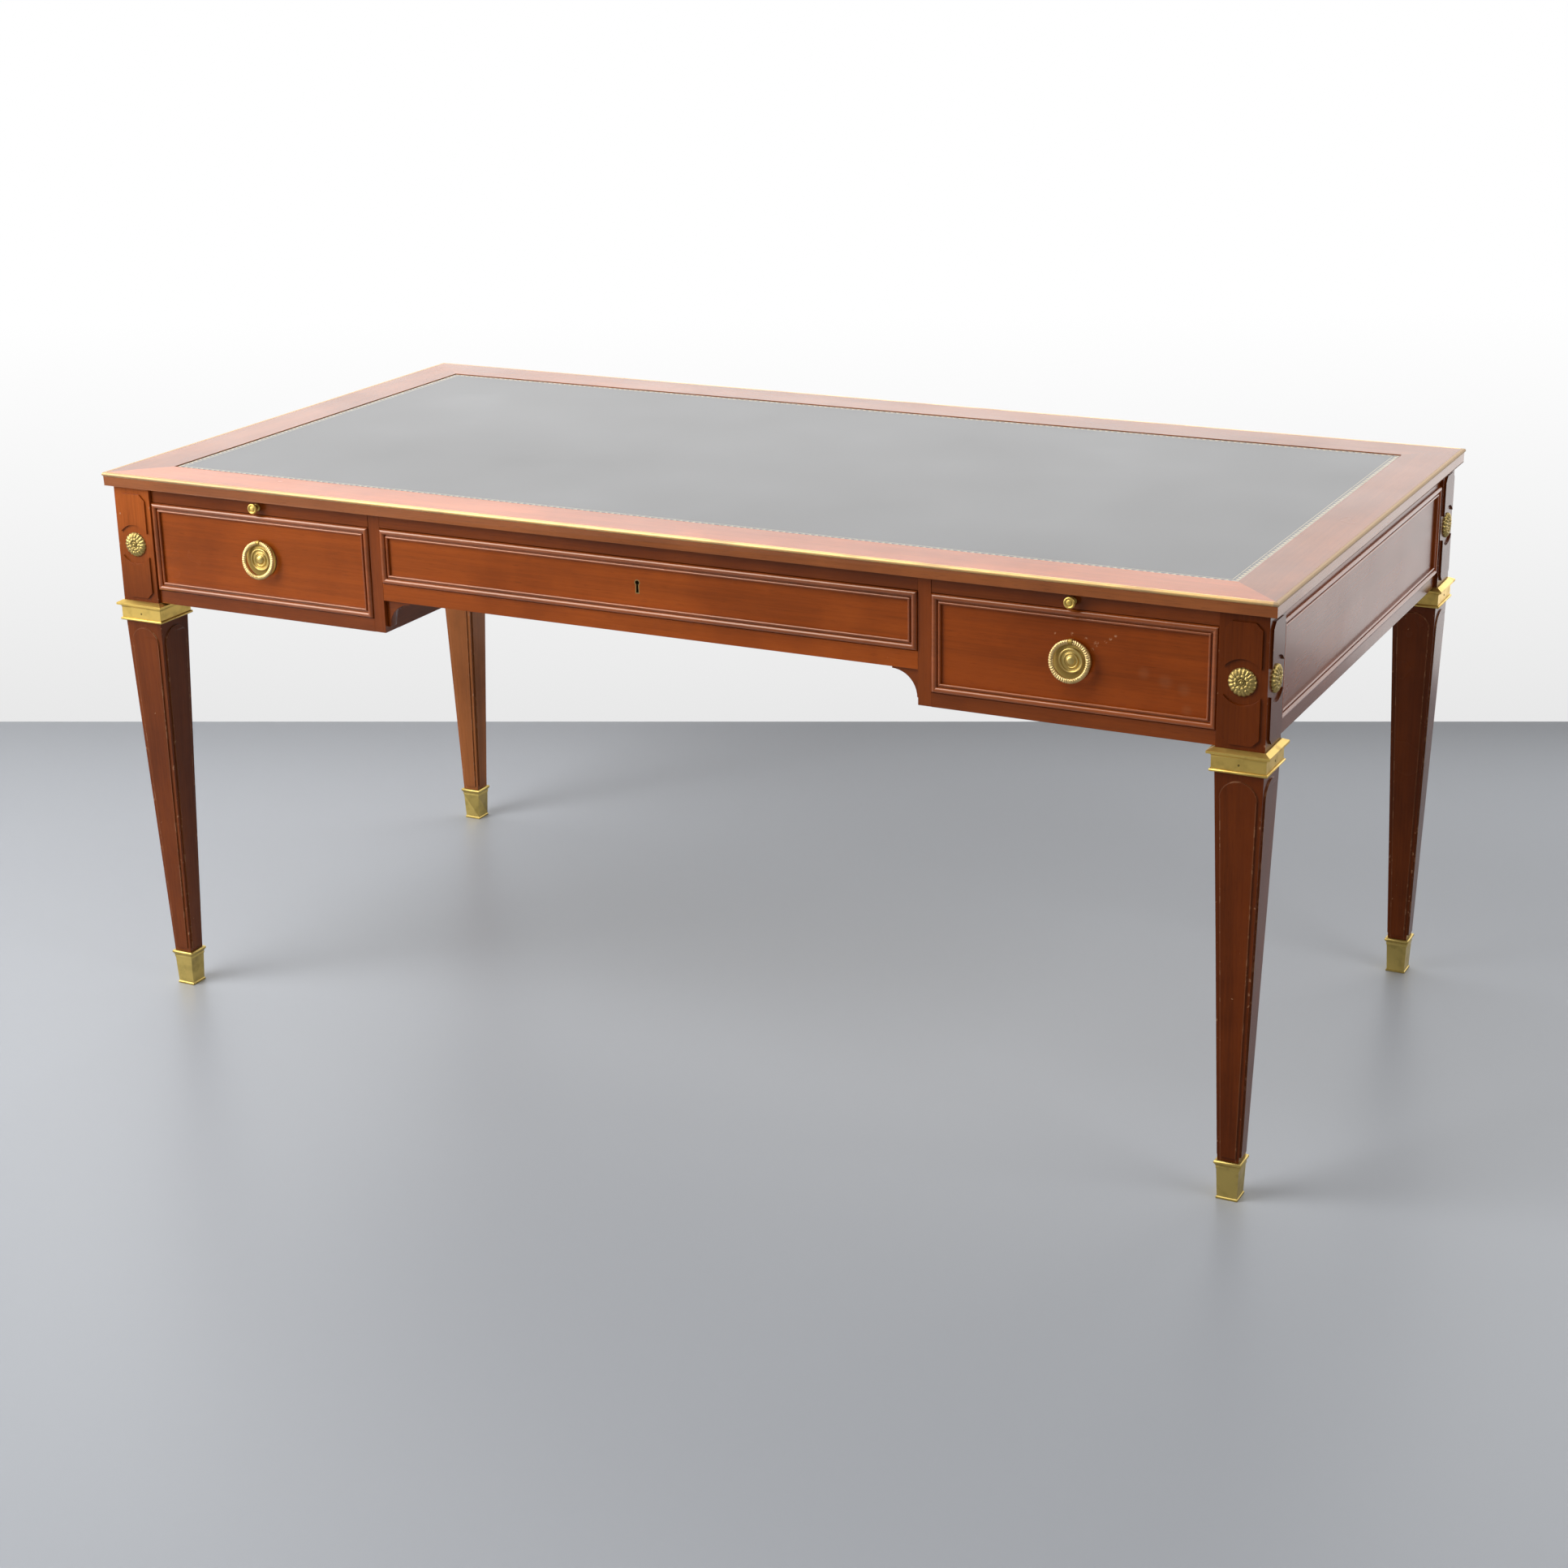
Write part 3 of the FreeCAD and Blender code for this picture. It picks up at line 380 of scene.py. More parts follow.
# Painted light: the back left leg is a much lighter copy of the leg wood, standing in for the extra light
# it gets.
lit_back_left_tone = (0.33, 0.105, 0.028)
leg_wood = mahogany("mahogany_leg", leg_tone, "Z", 0.2, marks_of=leg_wear_and_highlight, **leg_shine)
lit_front_left_leg_wood = mahogany(
    "mahogany_front_left_leg", lit_front_left_tone, "Z", 0.2, marks_of=leg_wear_and_highlight,
    light_of=painted_block_light, lighter=(2.2, 2.4, 2.6), **leg_shine)
lit_back_left_leg_wood = mahogany(
    "mahogany_back_left_leg", lit_back_left_tone, "Z", 0.2, marks_of=leg_wear_and_highlight, **leg_shine)
print("leg axis:", [round(value, 4) for value in leg_axis])

# %% [markdown]
# The right drawer is the one that was used most. The photograph shows pale scratches beside its ring
# and soft rubbed patches low on the right. A mark is a spot with a soft edge on the drawer's face. The
# scratches are broken up by fine specks, and the patches stay even, because polish wears off evenly.

# %% Scuffed right drawer, in painted shade
scratches = (
    (0.632, 0.695, 2.5 * mm), (0.626, 0.691, 2.5 * mm), (0.620, 0.687, 2.5 * mm),
    (0.609, 0.683, 4.5 * mm), (0.604, 0.676, 2.5 * mm), (0.596, 0.688, 2.5 * mm),
    (0.579, 0.692, 2.5 * mm), (0.558, 0.690, 2.0 * mm))
patches = (
    (0.667, 0.655, 10 * mm), (0.693, 0.648, 12 * mm), (0.716, 0.641, 11 * mm), (0.720, 0.617, 9 * mm))


def spots(tree, place, marks):
    """1 at the middle of each mark, given by X and Z on the drawer front and a radius, 0 beyond it."""
    axes = add(tree, "SeparateXYZ", {"Vector": place}).outputs
    mask = 0.0
    for x, z, radius in marks:
        across = calc(tree, "SUBTRACT", axes["X"], x)
        up = calc(tree, "SUBTRACT", axes["Z"], z)
        away = from_point(tree, across, up)
        spot = calc(tree, "SUBTRACT", 1.0, fade(tree, away, 0.2 * radius, radius))
        mask = calc(tree, "MAXIMUM", mask, spot)
    return mask


def drawer_scuffs(tree, place):
    """Specked scratches, even rubbed patches, and a few specks all over the front."""
    specks = calc(tree, "MULTIPLY", scatter(tree, place, 20 * mm, 0.02), 0.4)
    scratched = calc(tree, "MULTIPLY", spots(tree, place, scratches), 0.8)
    pale = calc(tree, "MAXIMUM", specks, scratched)
    broken_up = calc(tree, "MULTIPLY", pale, scatter(tree, place, 3 * mm, 1.1))
    rubbed = calc(tree, "MULTIPLY", spots(tree, place, patches), 0.07)
    return calc(tree, "MAXIMUM", broken_up, rubbed)


# Painted shade: the right drawer's wood is a darker copy of the drawer wood, as the right of the front gets
# less light.
shaded_right_drawer_tone = (0.255, 0.048, 0.005)
shaded_right_drawer_wood = mahogany(
    "mahogany_right_drawer_shaded", shaded_right_drawer_tone, "X", marks_of=drawer_scuffs, **drawer_shine)
print("scratches:", len(scratches), "rubbed patches:", len(patches))

# %% [markdown]
# The writing surface is dark leather with a gilt band pressed into it all round. The band is a row of
# small teeth between two fine lines. It could be cut out as thin gold pieces, but real tooling lies in
# the leather, so it is drawn in the finish from the distance to the edge and the way along it.

# %% Leather with its tooled band
tooth_pitch = 9.0 * mm
tooth_height = 5.0 * mm
tooth_start = 2.2 * mm
line_width = 0.9 * mm
outer_line = 0.8 * mm
inner_line = tooth_start + tooth_height + 1.4 * mm
dark_hide = (0.066, 0.067, 0.069)
light_hide = (0.086, 0.086, 0.087)
old_gold = (0.50, 0.42, 0.28)


def edge_distance(tree, axes):
    """Distance to the nearest edge of the leather, and the way along that edge."""
    to_end = calc(tree, "SUBTRACT", leather_high.x, calc(tree, "ABSOLUTE", axes["X"]))
    to_side = calc(tree, "SUBTRACT", leather_high.y, calc(tree, "ABSOLUTE", axes["Y"]))
    near_end = calc(tree, "LESS_THAN", to_end, to_side)
    swap = calc(tree, "SUBTRACT", axes["Y"], axes["X"])
    along = calc(tree, "ADD", axes["X"], calc(tree, "MULTIPLY", near_end, swap))
    return calc(tree, "MINIMUM", to_end, to_side), along


def between(tree, value, low, high):
    """1 where a value lies between two limits."""
    over = calc(tree, "GREATER_THAN", value, low)
    under = calc(tree, "LESS_THAN", value, high)
    return calc(tree, "MULTIPLY", over, under)


def gilt_band(tree, place):
    """1 on the gold of the band: an outer line, a row of teeth and an inner line."""
    axes = add(tree, "SeparateXYZ", {"Vector": place}).outputs
    edge, along = edge_distance(tree, axes)
    wave = calc(tree, "PINGPONG", along, tooth_pitch / 2)
    height = calc(tree, "MULTIPLY", wave, 2 * tooth_height / tooth_pitch)
    into = calc(tree, "SUBTRACT", edge, tooth_start)
    teeth = between(tree, into, 0.0, height)
    outer = between(tree, edge, outer_line, outer_line + line_width)
    inner = between(tree, edge, inner_line, inner_line + line_width)
    return calc(tree, "MAXIMUM", teeth, calc(tree, "MAXIMUM", outer, inner))


leather, tree, shader = new_finish("leather")
place = add(tree, "TexCoord").outputs["Object"]
pebbles = add(tree, "TexVoronoi", {"Vector": place, "Scale": 620.0}).outputs["Distance"]
cloud = noise(tree, place, 4.0, 4.0)
hide = blend_colour(tree, fade(tree, cloud, 0.3, 0.7), dark_hide, light_hide)
kept = calc(tree, "SUBTRACT", 1.0, scatter(tree, place, 6 * mm, 0.5))
worn_gold = calc(tree, "MULTIPLY", gilt_band(tree, place), kept)
surface = blend_colour(tree, worn_gold, hide, old_gold)
tree.links.new(surface, shader.inputs["Base Color"])
sheen = add(tree, "MapRange", {"Value": cloud, "To Min": 0.36, "To Max": 0.50}).outputs["Result"]
tree.links.new(sheen, shader.inputs["Roughness"])
shader.inputs["Specular IOR Level"].default_value = 0.75
dents = add(tree, "Bump", {"Height": pebbles, "Strength": 0.12, "Distance": 0.15 * mm}).outputs["Normal"]
tree.links.new(dents, shader.inputs["Normal"])
print("leather:", [round(value, 4) for value in leather_high])

# %% [markdown]
# The fittings are cast and turned brass with old gilding: bright on what hands touch, dull and
# greenish brown in the hollows. A noise spreads the tarnish, and the shader's own occlusion node
# finds the hollows, so that a rosette or a ring reads even without strong light.

# %% Brass, oak and steel
def aged_brass(name, gilt, tarnish, roughness, ground_of=None, spread=60.0):
    """Metal with duller, darker hollows. ground_of masks a part that takes the darker colour all over."""
    finish, tree, shader = new_finish(name)
    place = add(tree, "TexCoord").outputs["Object"]
    cloud = noise(tree, place, spread, 5.0)
    openness = add(tree, "AmbientOcclusion", {"Distance": 4 * mm}, samples=4).outputs["AO"]
    hollow = calc(tree, "SUBTRACT", 1.0, fade(tree, openness, 0.35, 0.9))
    clouded = calc(tree, "MULTIPLY", fade(tree, cloud, 0.45, 0.75), 0.45)
    dull = calc(tree, "MAXIMUM", clouded, hollow)
    if ground_of:
        dull = calc(tree, "MAXIMUM", dull, ground_of(tree, place))
    tree.links.new(blend_colour(tree, dull, gilt, tarnish), shader.inputs["Base Color"])
    matt = calc(tree, "ADD", calc(tree, "MULTIPLY", dull, 0.2), roughness)
    tree.links.new(matt, shader.inputs["Roughness"])
    shader.inputs["Metallic"].default_value = 1.0
    return finish


def plate_ground_tarnish_and_shade(tree, place):
    """1 on the flat ground of a pull plate, outside its boss. It takes the darker colour: tarnish, and
    painted shade of the ring that hangs over it.
    """
    axes = add(tree, "SeparateXYZ", {"Vector": place}).outputs
    across = calc(tree, "SUBTRACT", calc(tree, "ABSOLUTE", axes["X"]), pull_x)
    up = calc(tree, "SUBTRACT", axes["Z"], pull_z)
    return fade(tree, from_point(tree, across, up), boss_edge, boss_edge + 1.5 * mm)


def dull_ends(tree, place):
    """Rises towards the left end of the brass edge, and on the strip along the right end, which come out
    darker and rougher.
    """
    axes = add(tree, "SeparateXYZ", {"Vector": place}).outputs
    right_of = fade(tree, axes["X"], -0.75 * half_length, -0.4 * half_length)
    left_end = calc(tree, "MULTIPLY", calc(tree, "SUBTRACT", 1.0, right_of), 0.45)
    right_strip = fade(tree, axes["X"], half_length - 8 * mm, half_length - 6 * mm)
    return calc(tree, "MAXIMUM", left_end, calc(tree, "MULTIPLY", right_strip, 0.75))


boss_edge = 15.0 * mm
right_front_low, right_front_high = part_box("drawer_right_front")
pull_x = (right_front_low.x + right_front_high.x) / 2
pull_z = (right_front_low.z + right_front_high.z) / 2
# The ground of each pull plate gets the tarnish colour: tarnish, and painted shade of the ring.
plate_brass = aged_brass("brass_plate", (0.66, 0.48, 0.16), (0.52, 0.36, 0.10), 0.36, plate_ground_tarnish_and_shade)
brass = aged_brass("brass_gilt", (0.75, 0.52, 0.14), (0.36, 0.24, 0.06), 0.40)
ring_brass = aged_brass("brass_worn_ring", (0.76, 0.54, 0.24), (0.30, 0.20, 0.05), 0.38)
flower_brass = aged_brass("brass_flower", (0.48, 0.35, 0.12), (0.18, 0.13, 0.04), 0.38)
strip_brass = aged_brass("brass_strip", (0.78, 0.51, 0.22), (0.35, 0.27, 0.20), 0.50, dull_ends, 16.0)
liner_brass = aged_brass("brass_liner", (0.34, 0.23, 0.09), (0.18, 0.12, 0.05), 0.45)
foot_brass = aged_brass("brass_foot", (0.62, 0.46, 0.14), (0.28, 0.20, 0.06), 0.38)

steel, tree, shader = new_finish("lock_steel")
place = add(tree, "TexCoord").outputs["Object"]
smear = noise(tree, stretched(tree, place, "X", 40.0, 900.0))
dark_steel = (0.30, 0.30, 0.30)
light_steel = (0.46, 0.45, 0.43)
tree.links.new(blend_colour(tree, smear, dark_steel, light_steel), shader.inputs["Base Color"])
shader.inputs["Metallic"].default_value = 1.0
shader.inputs["Roughness"].default_value = 0.42


oak_tone = (0.40, 0.25, 0.12)


def lining_oak(name, grain):
    """Plain, unpolished oak of the drawer linings and the hidden strips."""
    finish, tree, shader = new_finish(name)
    place = add(tree, "TexCoord").outputs["Object"]
    colour, fibre = wood_figure(tree, place, grain, oak_tone, 0.22)
    tree.links.new(colour, shader.inputs["Base Color"])
    bump = add(tree, "Bump", {"Height": fibre, "Strength": 0.2, "Distance": 0.2 * mm}).outputs["Normal"]
    tree.links.new(bump, shader.inputs["Normal"])
    shader.inputs["Roughness"].default_value = 0.65
    return finish


oak_y = lining_oak("oak_along_y", "Y")
oak_x = lining_oak("oak_along_x", "X")
print("metals and oak:", brass.name, strip_brass.name, steel.name, oak_x.name, oak_y.name)

# %% [markdown]
# Now every solid gets its finish. Most follow from the slot in the part's record, and the table below
# names the solids whose grain or wear differs from the rest of their slot. It goes by the start of a
# name, and a later entry wins, so the longer starts stand after the shorter ones.

# %% Give every solid its finish
finish_by_slot = {"mahogany": rail_wood, "oak": oak_y, "leather": leather, "brass": brass, "steel": steel}
finish_by_start = {
    "top_border": border_wood, "brass_edge": strip_brass, "sabot_": foot_brass,
    "keyhole_liner": liner_brass, "leg_": leg_wood,
    "leg_front_left": lit_front_left_leg_wood, "leg_back_left": lit_back_left_leg_wood, "side_": side_wood,
    "side_mouldings": side_moulding_wood, "stile_": stile_wood, "partition_": side_wood,
    "drawer_right_front": shaded_right_drawer_wood}
for piece in ("center_rail", "drawer_left_front", "drawer_center_front"):
    finish_by_start[piece] = drawer_wood
for drawer in ("drawer_left", "drawer_center", "drawer_right"):
    finish_by_start[drawer + "_moulding"] = drawer_moulding_wood
    finish_by_start[drawer + "_back"] = oak_x
finish_by_start["back_mouldings"] = drawer_moulding_wood
for piece in ("glue_blocks", "drawer_stops"):
    finish_by_start[piece] = oak_x

for piece in frame["record"]["subparts"]:
    solid = nodes[piece["node"]]
    finish = finish_by_slot[piece["material_slot"]]
    for start, special in finish_by_start.items():
        if piece["node"].startswith(start):
            finish = special
    solid.data.materials.clear()
    solid.data.materials.append(finish)
print("finished solids:", len(nodes))

# %% [markdown]
# No edge on old furniture is razor sharp. A narrow bevel on the boards, legs and castings catches the
# light along their edges. The solids come in as loose triangles, so a Weld joins them first, and the
# Bevel then only touches edges that really turn a corner.

# %% Soften the edges
def soften(names, width):
    """Adds a weld and a narrow round bevel to solids."""
    for name in names:
        weld = nodes[name].modifiers.new("join_triangles", "WELD")
        weld.merge_threshold = 0.005 * mm
        bevel = nodes[name].modifiers.new("soft_edges", "BEVEL")
        bevel.width = width
        bevel.segments = 2
        bevel.limit_method = "ANGLE"
        bevel.angle_limit = math.radians(35)
        bevel.harden_normals = True


soften([name for name in nodes if name.startswith("leg_")], 0.7 * mm)
soften([name for name in nodes if name.startswith(("collar_", "sabot_"))], 0.35 * mm)
front_frame = [
    "bottom_rails", "center_rail", "top_rail", "stile_left", "stile_right", "kneehole_brackets"]
soften(front_frame, 0.5 * mm)
soften(["slide_left", "slide_right", "side_panel_left", "side_panel_right", "back_panels"], 0.4 * mm)
soften(["top_border"], 0.3 * mm)
print("softened solids:", sum(1 for solid in nodes.values() if solid.modifiers))

# %% [markdown]
# The small castings carry the front of the desk. As solids they are plain: a flower with flat petals,
# a smooth ring, a stepped plate. Finer ones now take their places inside the same boxes.
# Each begins as a profile that is spun about an axis, as on a lathe, because that keeps its rings even.
# The petals and leaves are then cut into the turned shape by moving its points.

# %% Helpers for turned and cast pieces
def turned(work, profile, steps):
    """Spins a profile of (radius, height) points once about the Z axis. Returns the new points."""
    before = set(work.verts)
    points = [work.verts.new((radius, 0, height)) for radius, height in profile]
    edges = [work.edges.new(pair) for pair in zip(points, points[1:])]
    bmesh.ops.spin(
        work, geom=points + edges, cent=(0, 0, 0), axis=(0, 0, 1),
        angle=math.tau, steps=steps, use_merge=True)
    made = [point for point in work.verts if point not in before]
    bmesh.ops.remove_doubles(work, verts=made, dist=0.001 * mm)
    return [point for point in work.verts if point not in before]


def half_round(outer, inner, height, rise, steps=8):
    """Profile points of a rounded bead between two radii."""
    middle = (outer + inner) / 2
    reach = (outer - inner) / 2
    turns = [math.pi * step / steps for step in range(steps + 1)]
    return [(middle + reach * math.cos(turn), height + rise * math.sin(turn)) for turn in turns]


def dome(radius, height, rise, steps=8):
    """Profile points of a dome, from its edge to its middle."""
    turns = [math.pi / 2 * step / steps for step in range(steps + 1)]
    return [(radius * math.cos(turn), height + rise * math.sin(turn)) for turn in turns]


def face_out(place, turn):
    """Stands a piece up so that its Z points along -Y, turns it about Z and moves it to its place."""
    stood_up = Matrix.Rotation(math.pi / 2, 4, "X")
    return Matrix.Translation(place) @ Matrix.Rotation(turn, 4, "Z") @ stood_up


def put_in_place(name, work, finish, slot, body, *replaced):
    """Makes an object at the origin from a finished shape, on a body, instead of some solids."""
    bmesh.ops.recalc_face_normals(work, faces=work.faces)
    mesh = bpy.data.meshes.new(name)
    work.to_mesh(mesh)
    work.free()
    mesh.shade_smooth()
    mesh.materials.append(finish)
    piece = bpy.data.objects.new(name, mesh)
    bpy.context.scene.collection.objects.link(piece)
    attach(piece, body)
    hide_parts(*replaced)
    print(name, "faces:", len(mesh.polygons), "instead of", replaced)


def middle_of(node):
    """Middle of a solid's box."""
    low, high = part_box(node)
    return (low + high) / 2


# %% [markdown]
# A rosette has an outer row of narrow flutes, an inner row of broader petals, and a small round eye.
# The turned blank already has the rise and fall from rim to eye. At each point the way round is
# measured in flutes, and the point sinks the nearer it lies to the valley between two of them.

# %% Rosettes on the corner blocks
flute_count = 18
valley = 9.3 * mm
eye_edge = 4.6 * mm
blank = (
    (17.0, 0.0), (17.0, 1.3), (16.8, 1.9), (16.3, 2.6), (15.5, 3.3), (14.4, 3.9), (13.0, 4.4),
    (11.6, 4.8), (10.4, 4.8), (9.6, 4.4), (9.0, 4.8), (8.2, 5.3), (7.2, 5.5), (6.2, 5.3),
    (5.4, 4.8), (4.8, 4.1), (4.4, 3.9))


def sink_flutes(points):
    """Cuts an outer row of flutes and an inner row of broader petals into a turned flower."""
    for point in points:
        radius = math.hypot(point.co.x, point.co.y)
        if point.co.z == 0 or radius < eye_edge:
            continue
        flutes_round = flute_count * math.atan2(point.co.y, point.co.x) / math.tau
        from_flute = abs(flutes_round - round(flutes_round)) * 2
        from_petal = abs(flutes_round / 2 - round(flutes_round / 2)) * 2
        if radius > valley:
            share = min(1, (radius - valley) / (2 * mm))
            point.co.z -= share * 1.1 * from_flute ** 2 * mm
            squeeze = 1 - 0.035 * share * from_flute ** 2
            point.co.x *= squeeze
            point.co.y *= squeeze
        else:
            midrib = max(0, 1 - from_petal / 0.25)
            point.co.z -= (1.2 * from_petal ** 2 + 0.4 * midrib) * mm


flower_work = bmesh.new()
petals = turned(flower_work, [(radius * mm, height * mm) for radius, height in blank], 8 * flute_count)
sink_flutes(petals)
collar_and_eye = half_round(4.4 * mm, 2.9 * mm, 4.0 * mm, 0.7 * mm, 6)
collar_and_eye += dome(2.5 * mm, 3.9 * mm, 2.4 * mm, 6)
turned(flower_work, collar_and_eye, 36)
flower = bpy.data.meshes.new("flower")
flower_work.to_mesh(flower)
flower_work.free()


def add_flower(work, place):
    """Adds a copy of the flower at one place."""
    copied = len(work.verts)
    work.from_mesh(flower)
    work.verts.ensure_lookup_table()
    bmesh.ops.transform(work, matrix=place, verts=work.verts[copied:])


rosette_low, rosette_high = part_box("rosettes")
rosette_height = (rosette_low.z + rosette_high.z) / 2
rosette_rise = 6.6 * mm
block_x = rosette_high.x - rosette_rise
block_y = rosette_high.y - rosette_rise
work = bmesh.new()
for side in (-1, 1):
    for end in (-1, 1):
        long_face = Vector((side * leg_axis[0], end * block_y, rosette_height))
        end_face = Vector((side * block_x, end * leg_axis[1], rosette_height))
        add_flower(work, face_out(long_face, 0 if end < 0 else math.pi))
        add_flower(work, face_out(end_face, side * math.pi / 2))
put_in_place("rosettes_cast", work, flower_brass, "brass", "carcase", "rosettes")

# %% [markdown]
# The pull is a round plate with a rimmed boss, a lug at its top, and a ring cast as a laurel wreath.
# The plate is turned like a coin. The lug is a short drum with soft ends on a neck.

# %% Plates of the pulls
ring_radius = 23.75 * mm
ring_section = 2.75 * mm
ring_inward = 0.7 * mm
stand_off = 5.0 * mm
rest_tilt = math.radians(8)
lug_half = 2.5 * mm
lug_radius = 3.1 * mm
face_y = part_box("pull_plate_left")[1].y


def pull_centre(name):
    """Middle of a pull on the face of its drawer."""
    return Vector((middle_of("pull_plate_" + name).x, face_y, middle_of("drawer_" + name + "_front").z))


def add_lug(work):
    """Adds the drum that holds the ring, and the neck under it."""
    drum = Matrix.Translation((0, ring_radius, stand_off)) @ Matrix.Rotation(math.pi / 2, 4, "Y")
    made = bmesh.ops.create_cone(
        work, cap_ends=True, segments=28, radius1=lug_radius, radius2=lug_radius,
        depth=2 * lug_half, matrix=drum)
    ends = {edge for point in made["verts"] for edge in point.link_edges if len(edge.link_faces) == 2
            and abs(edge.verts[0].co.x - edge.verts[1].co.x) < 0.01 * mm}
    bmesh.ops.bevel(
        work, geom=list(ends), offset=0.6 * mm, segments=3, profile=0.5,
        affect="EDGES", material=-1)
    neck_size = Matrix.Diagonal((3.6 * mm, 4.6 * mm, stand_off, 1))
    neck_place = Matrix.Translation((0, ring_radius - 0.4 * mm, stand_off / 2))
    bmesh.ops.create_cube(work, size=1.0, matrix=neck_place @ neck_size)


plate_profile = [
    (24.0, 0.0), (24.0, 1.0), (23.6, 1.5), (22.9, 1.6), (19.0, 1.9), (16.6, 2.2),
    (15.5, 2.4), (15.5, 3.5)]
plate_profile += half_round(15.5, 12.5, 3.5, 1.5)
plate_profile += [(12.5, 3.0), (11.9, 2.7), (10.4, 2.7), (9.6, 3.0)]
plate_profile += half_round(9.4, 7.6, 3.6, 0.9)
plate_profile += [(7.4, 3.5), (6.6, 3.5)] + dome(6.0, 3.8, 2.6)
for name, body in (("left", "drawer_left"), ("right", "drawer_right")):
    work = bmesh.new()
    turned(work, [(radius * mm, height * mm) for radius, height in plate_profile], 72)
    add_lug(work)
    bmesh.ops.transform(work, matrix=face_out(pull_centre(name), 0), verts=work.verts)
    put_in_place("pull_plate_turned_" + name, work, plate_brass, "brass", body, "pull_plate_" + name)

# %% [markdown]
# The ring is a bent bar, open at the lug, so it is a circle spun through a little less than a full
# turn. The wreath is a little broader than a round bar, towards its inside.
# Leaves lie along it in two rows that climb from the bottom on both sides. The bar's radius follows
# a wave: its phase runs with the way round and leans back towards the sides, which draws the leaves.
# In the photograph the rings hang a little forward from their lugs, so the finished ring is tilted.

# %% Wreath rings of the pulls
leaf_count = 26
root_share = 0.62
groove_share = 0.12
open_half = lug_half + 0.4 * mm
open_turn = math.asin(open_half / ring_radius)
stub_radius = 1.2 * mm
stub_length = 1.1 * mm


def shape_leaves(points):
    """Thins the bar between its leaves. Nothing grows beyond the plain bar."""
    for point in points:
        flat = Vector((point.co.x, point.co.y, 0))
        core = flat.normalized() * (ring_radius - ring_inward) + Vector((0, 0, stand_off))
        outward = flat.length - ring_radius + ring_inward
        lean = abs(math.atan2(outward, point.co.z - stand_off))
        climb = abs(math.atan2(point.co.x, -point.co.y))
        wave = (leaf_count * climb / math.tau * 2 - lean * 0.45) % 1
        leaf = (1 - wave) ** 0.6
        rib = math.exp(-((lean / 0.3) ** 2))
        thickness = root_share + (1 - root_share) * leaf - groove_share * rib
        point.co = core + (point.co - core) * thickness


def add_wreath(work):
    """Adds one open ring with two stub pivots that end at the lug."""
    section = bmesh.ops.create_circle(work, segments=16, radius=ring_section)["verts"]
    broad = Matrix.Diagonal((1 + ring_inward / ring_section, 1, 1, 1))
    bmesh.ops.transform(work, matrix=broad, verts=section)
    stood_up = Matrix.Rotation(math.pi / 2, 4, "X")
    on_ring = Matrix.Translation((ring_radius - ring_inward, 0, stand_off)) @ stood_up
    start = Matrix.Rotation(math.pi / 2 + open_turn, 4, "Z")
    bmesh.ops.transform(work, matrix=start @ on_ring, verts=section)
    edges = list({edge for point in section for edge in point.link_edges})
    bmesh.ops.spin(
        work, geom=section + edges, cent=(0, 0, 0), axis=(0, 0, 1),
        angle=math.tau - 2 * open_turn, steps=240)
    shape_leaves(list(work.verts))
    bmesh.ops.holes_fill(work, edges=[edge for edge in work.edges if edge.is_boundary])
    for way in (-1, 1):
        stub_place = Matrix.Translation((way * (lug_half + 0.6 * mm), ring_radius, stand_off))
        stub = stub_place @ Matrix.Rotation(math.pi / 2, 4, "Y")
        bmesh.ops.create_cone(
            work, cap_ends=True, segments=16, radius1=stub_radius, radius2=stub_radius,
            depth=stub_length, matrix=stub)
    tilt = Matrix.Rotation(-rest_tilt, 3, "X")
    bmesh.ops.rotate(work, cent=(0, ring_radius, stand_off), matrix=tilt, verts=work.verts)


for name in ("left", "right"):
    work = bmesh.new()
    add_wreath(work)
    bmesh.ops.transform(work, matrix=face_out(pull_centre(name), 0), verts=work.verts)
    put_in_place("pull_ring_wreath_" + name, work, ring_brass, "brass", "ring_" + name, "pull_ring_" + name)

# %% [markdown]
# The knobs of the slides are plain turnings: a small rose, a stem, and a round head whose face has a
# raised rim about a button. The groove between them stays dark, as it does in the photograph.

# %% Knobs of the slides
knob_length = 12.0 * mm
knob_profile = [
    (5.4, 0.0), (5.4, 0.8), (4.9, 1.5), (3.6, 1.8), (3.2, 2.4), (3.2, 6.2), (3.8, 7.0),
    (5.6, 7.4), (6.8, 8.2), (7.4, 9.2), (7.4, 10.2), (7.0, 11.2), (6.3, 11.8), (5.5, 12.0),
    (4.9, 11.7), (4.5, 11.0), (4.1, 10.8), (3.7, 11.0)]
knob_profile += dome(3.4, 11.2, 0.7)
for name in ("left", "right"):
    centre = middle_of("slide_knob_" + name)
    centre.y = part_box("slide_knob_" + name)[0].y + knob_length
    work = bmesh.new()
    turned(work, [(radius * mm, height * mm) for radius, height in knob_profile], 48)
    bmesh.ops.transform(work, matrix=face_out(centre, 0), verts=work.verts)
    put_in_place("slide_knob_turned_" + name, work, brass, "brass", "slide_" + name, "slide_knob_" + name)

# %% [markdown]
# Each brass collar is held by a pin in the middle of its outer faces, which shows as a small dark dot.
# A flattened ball that is half sunk into the face is enough at this size.

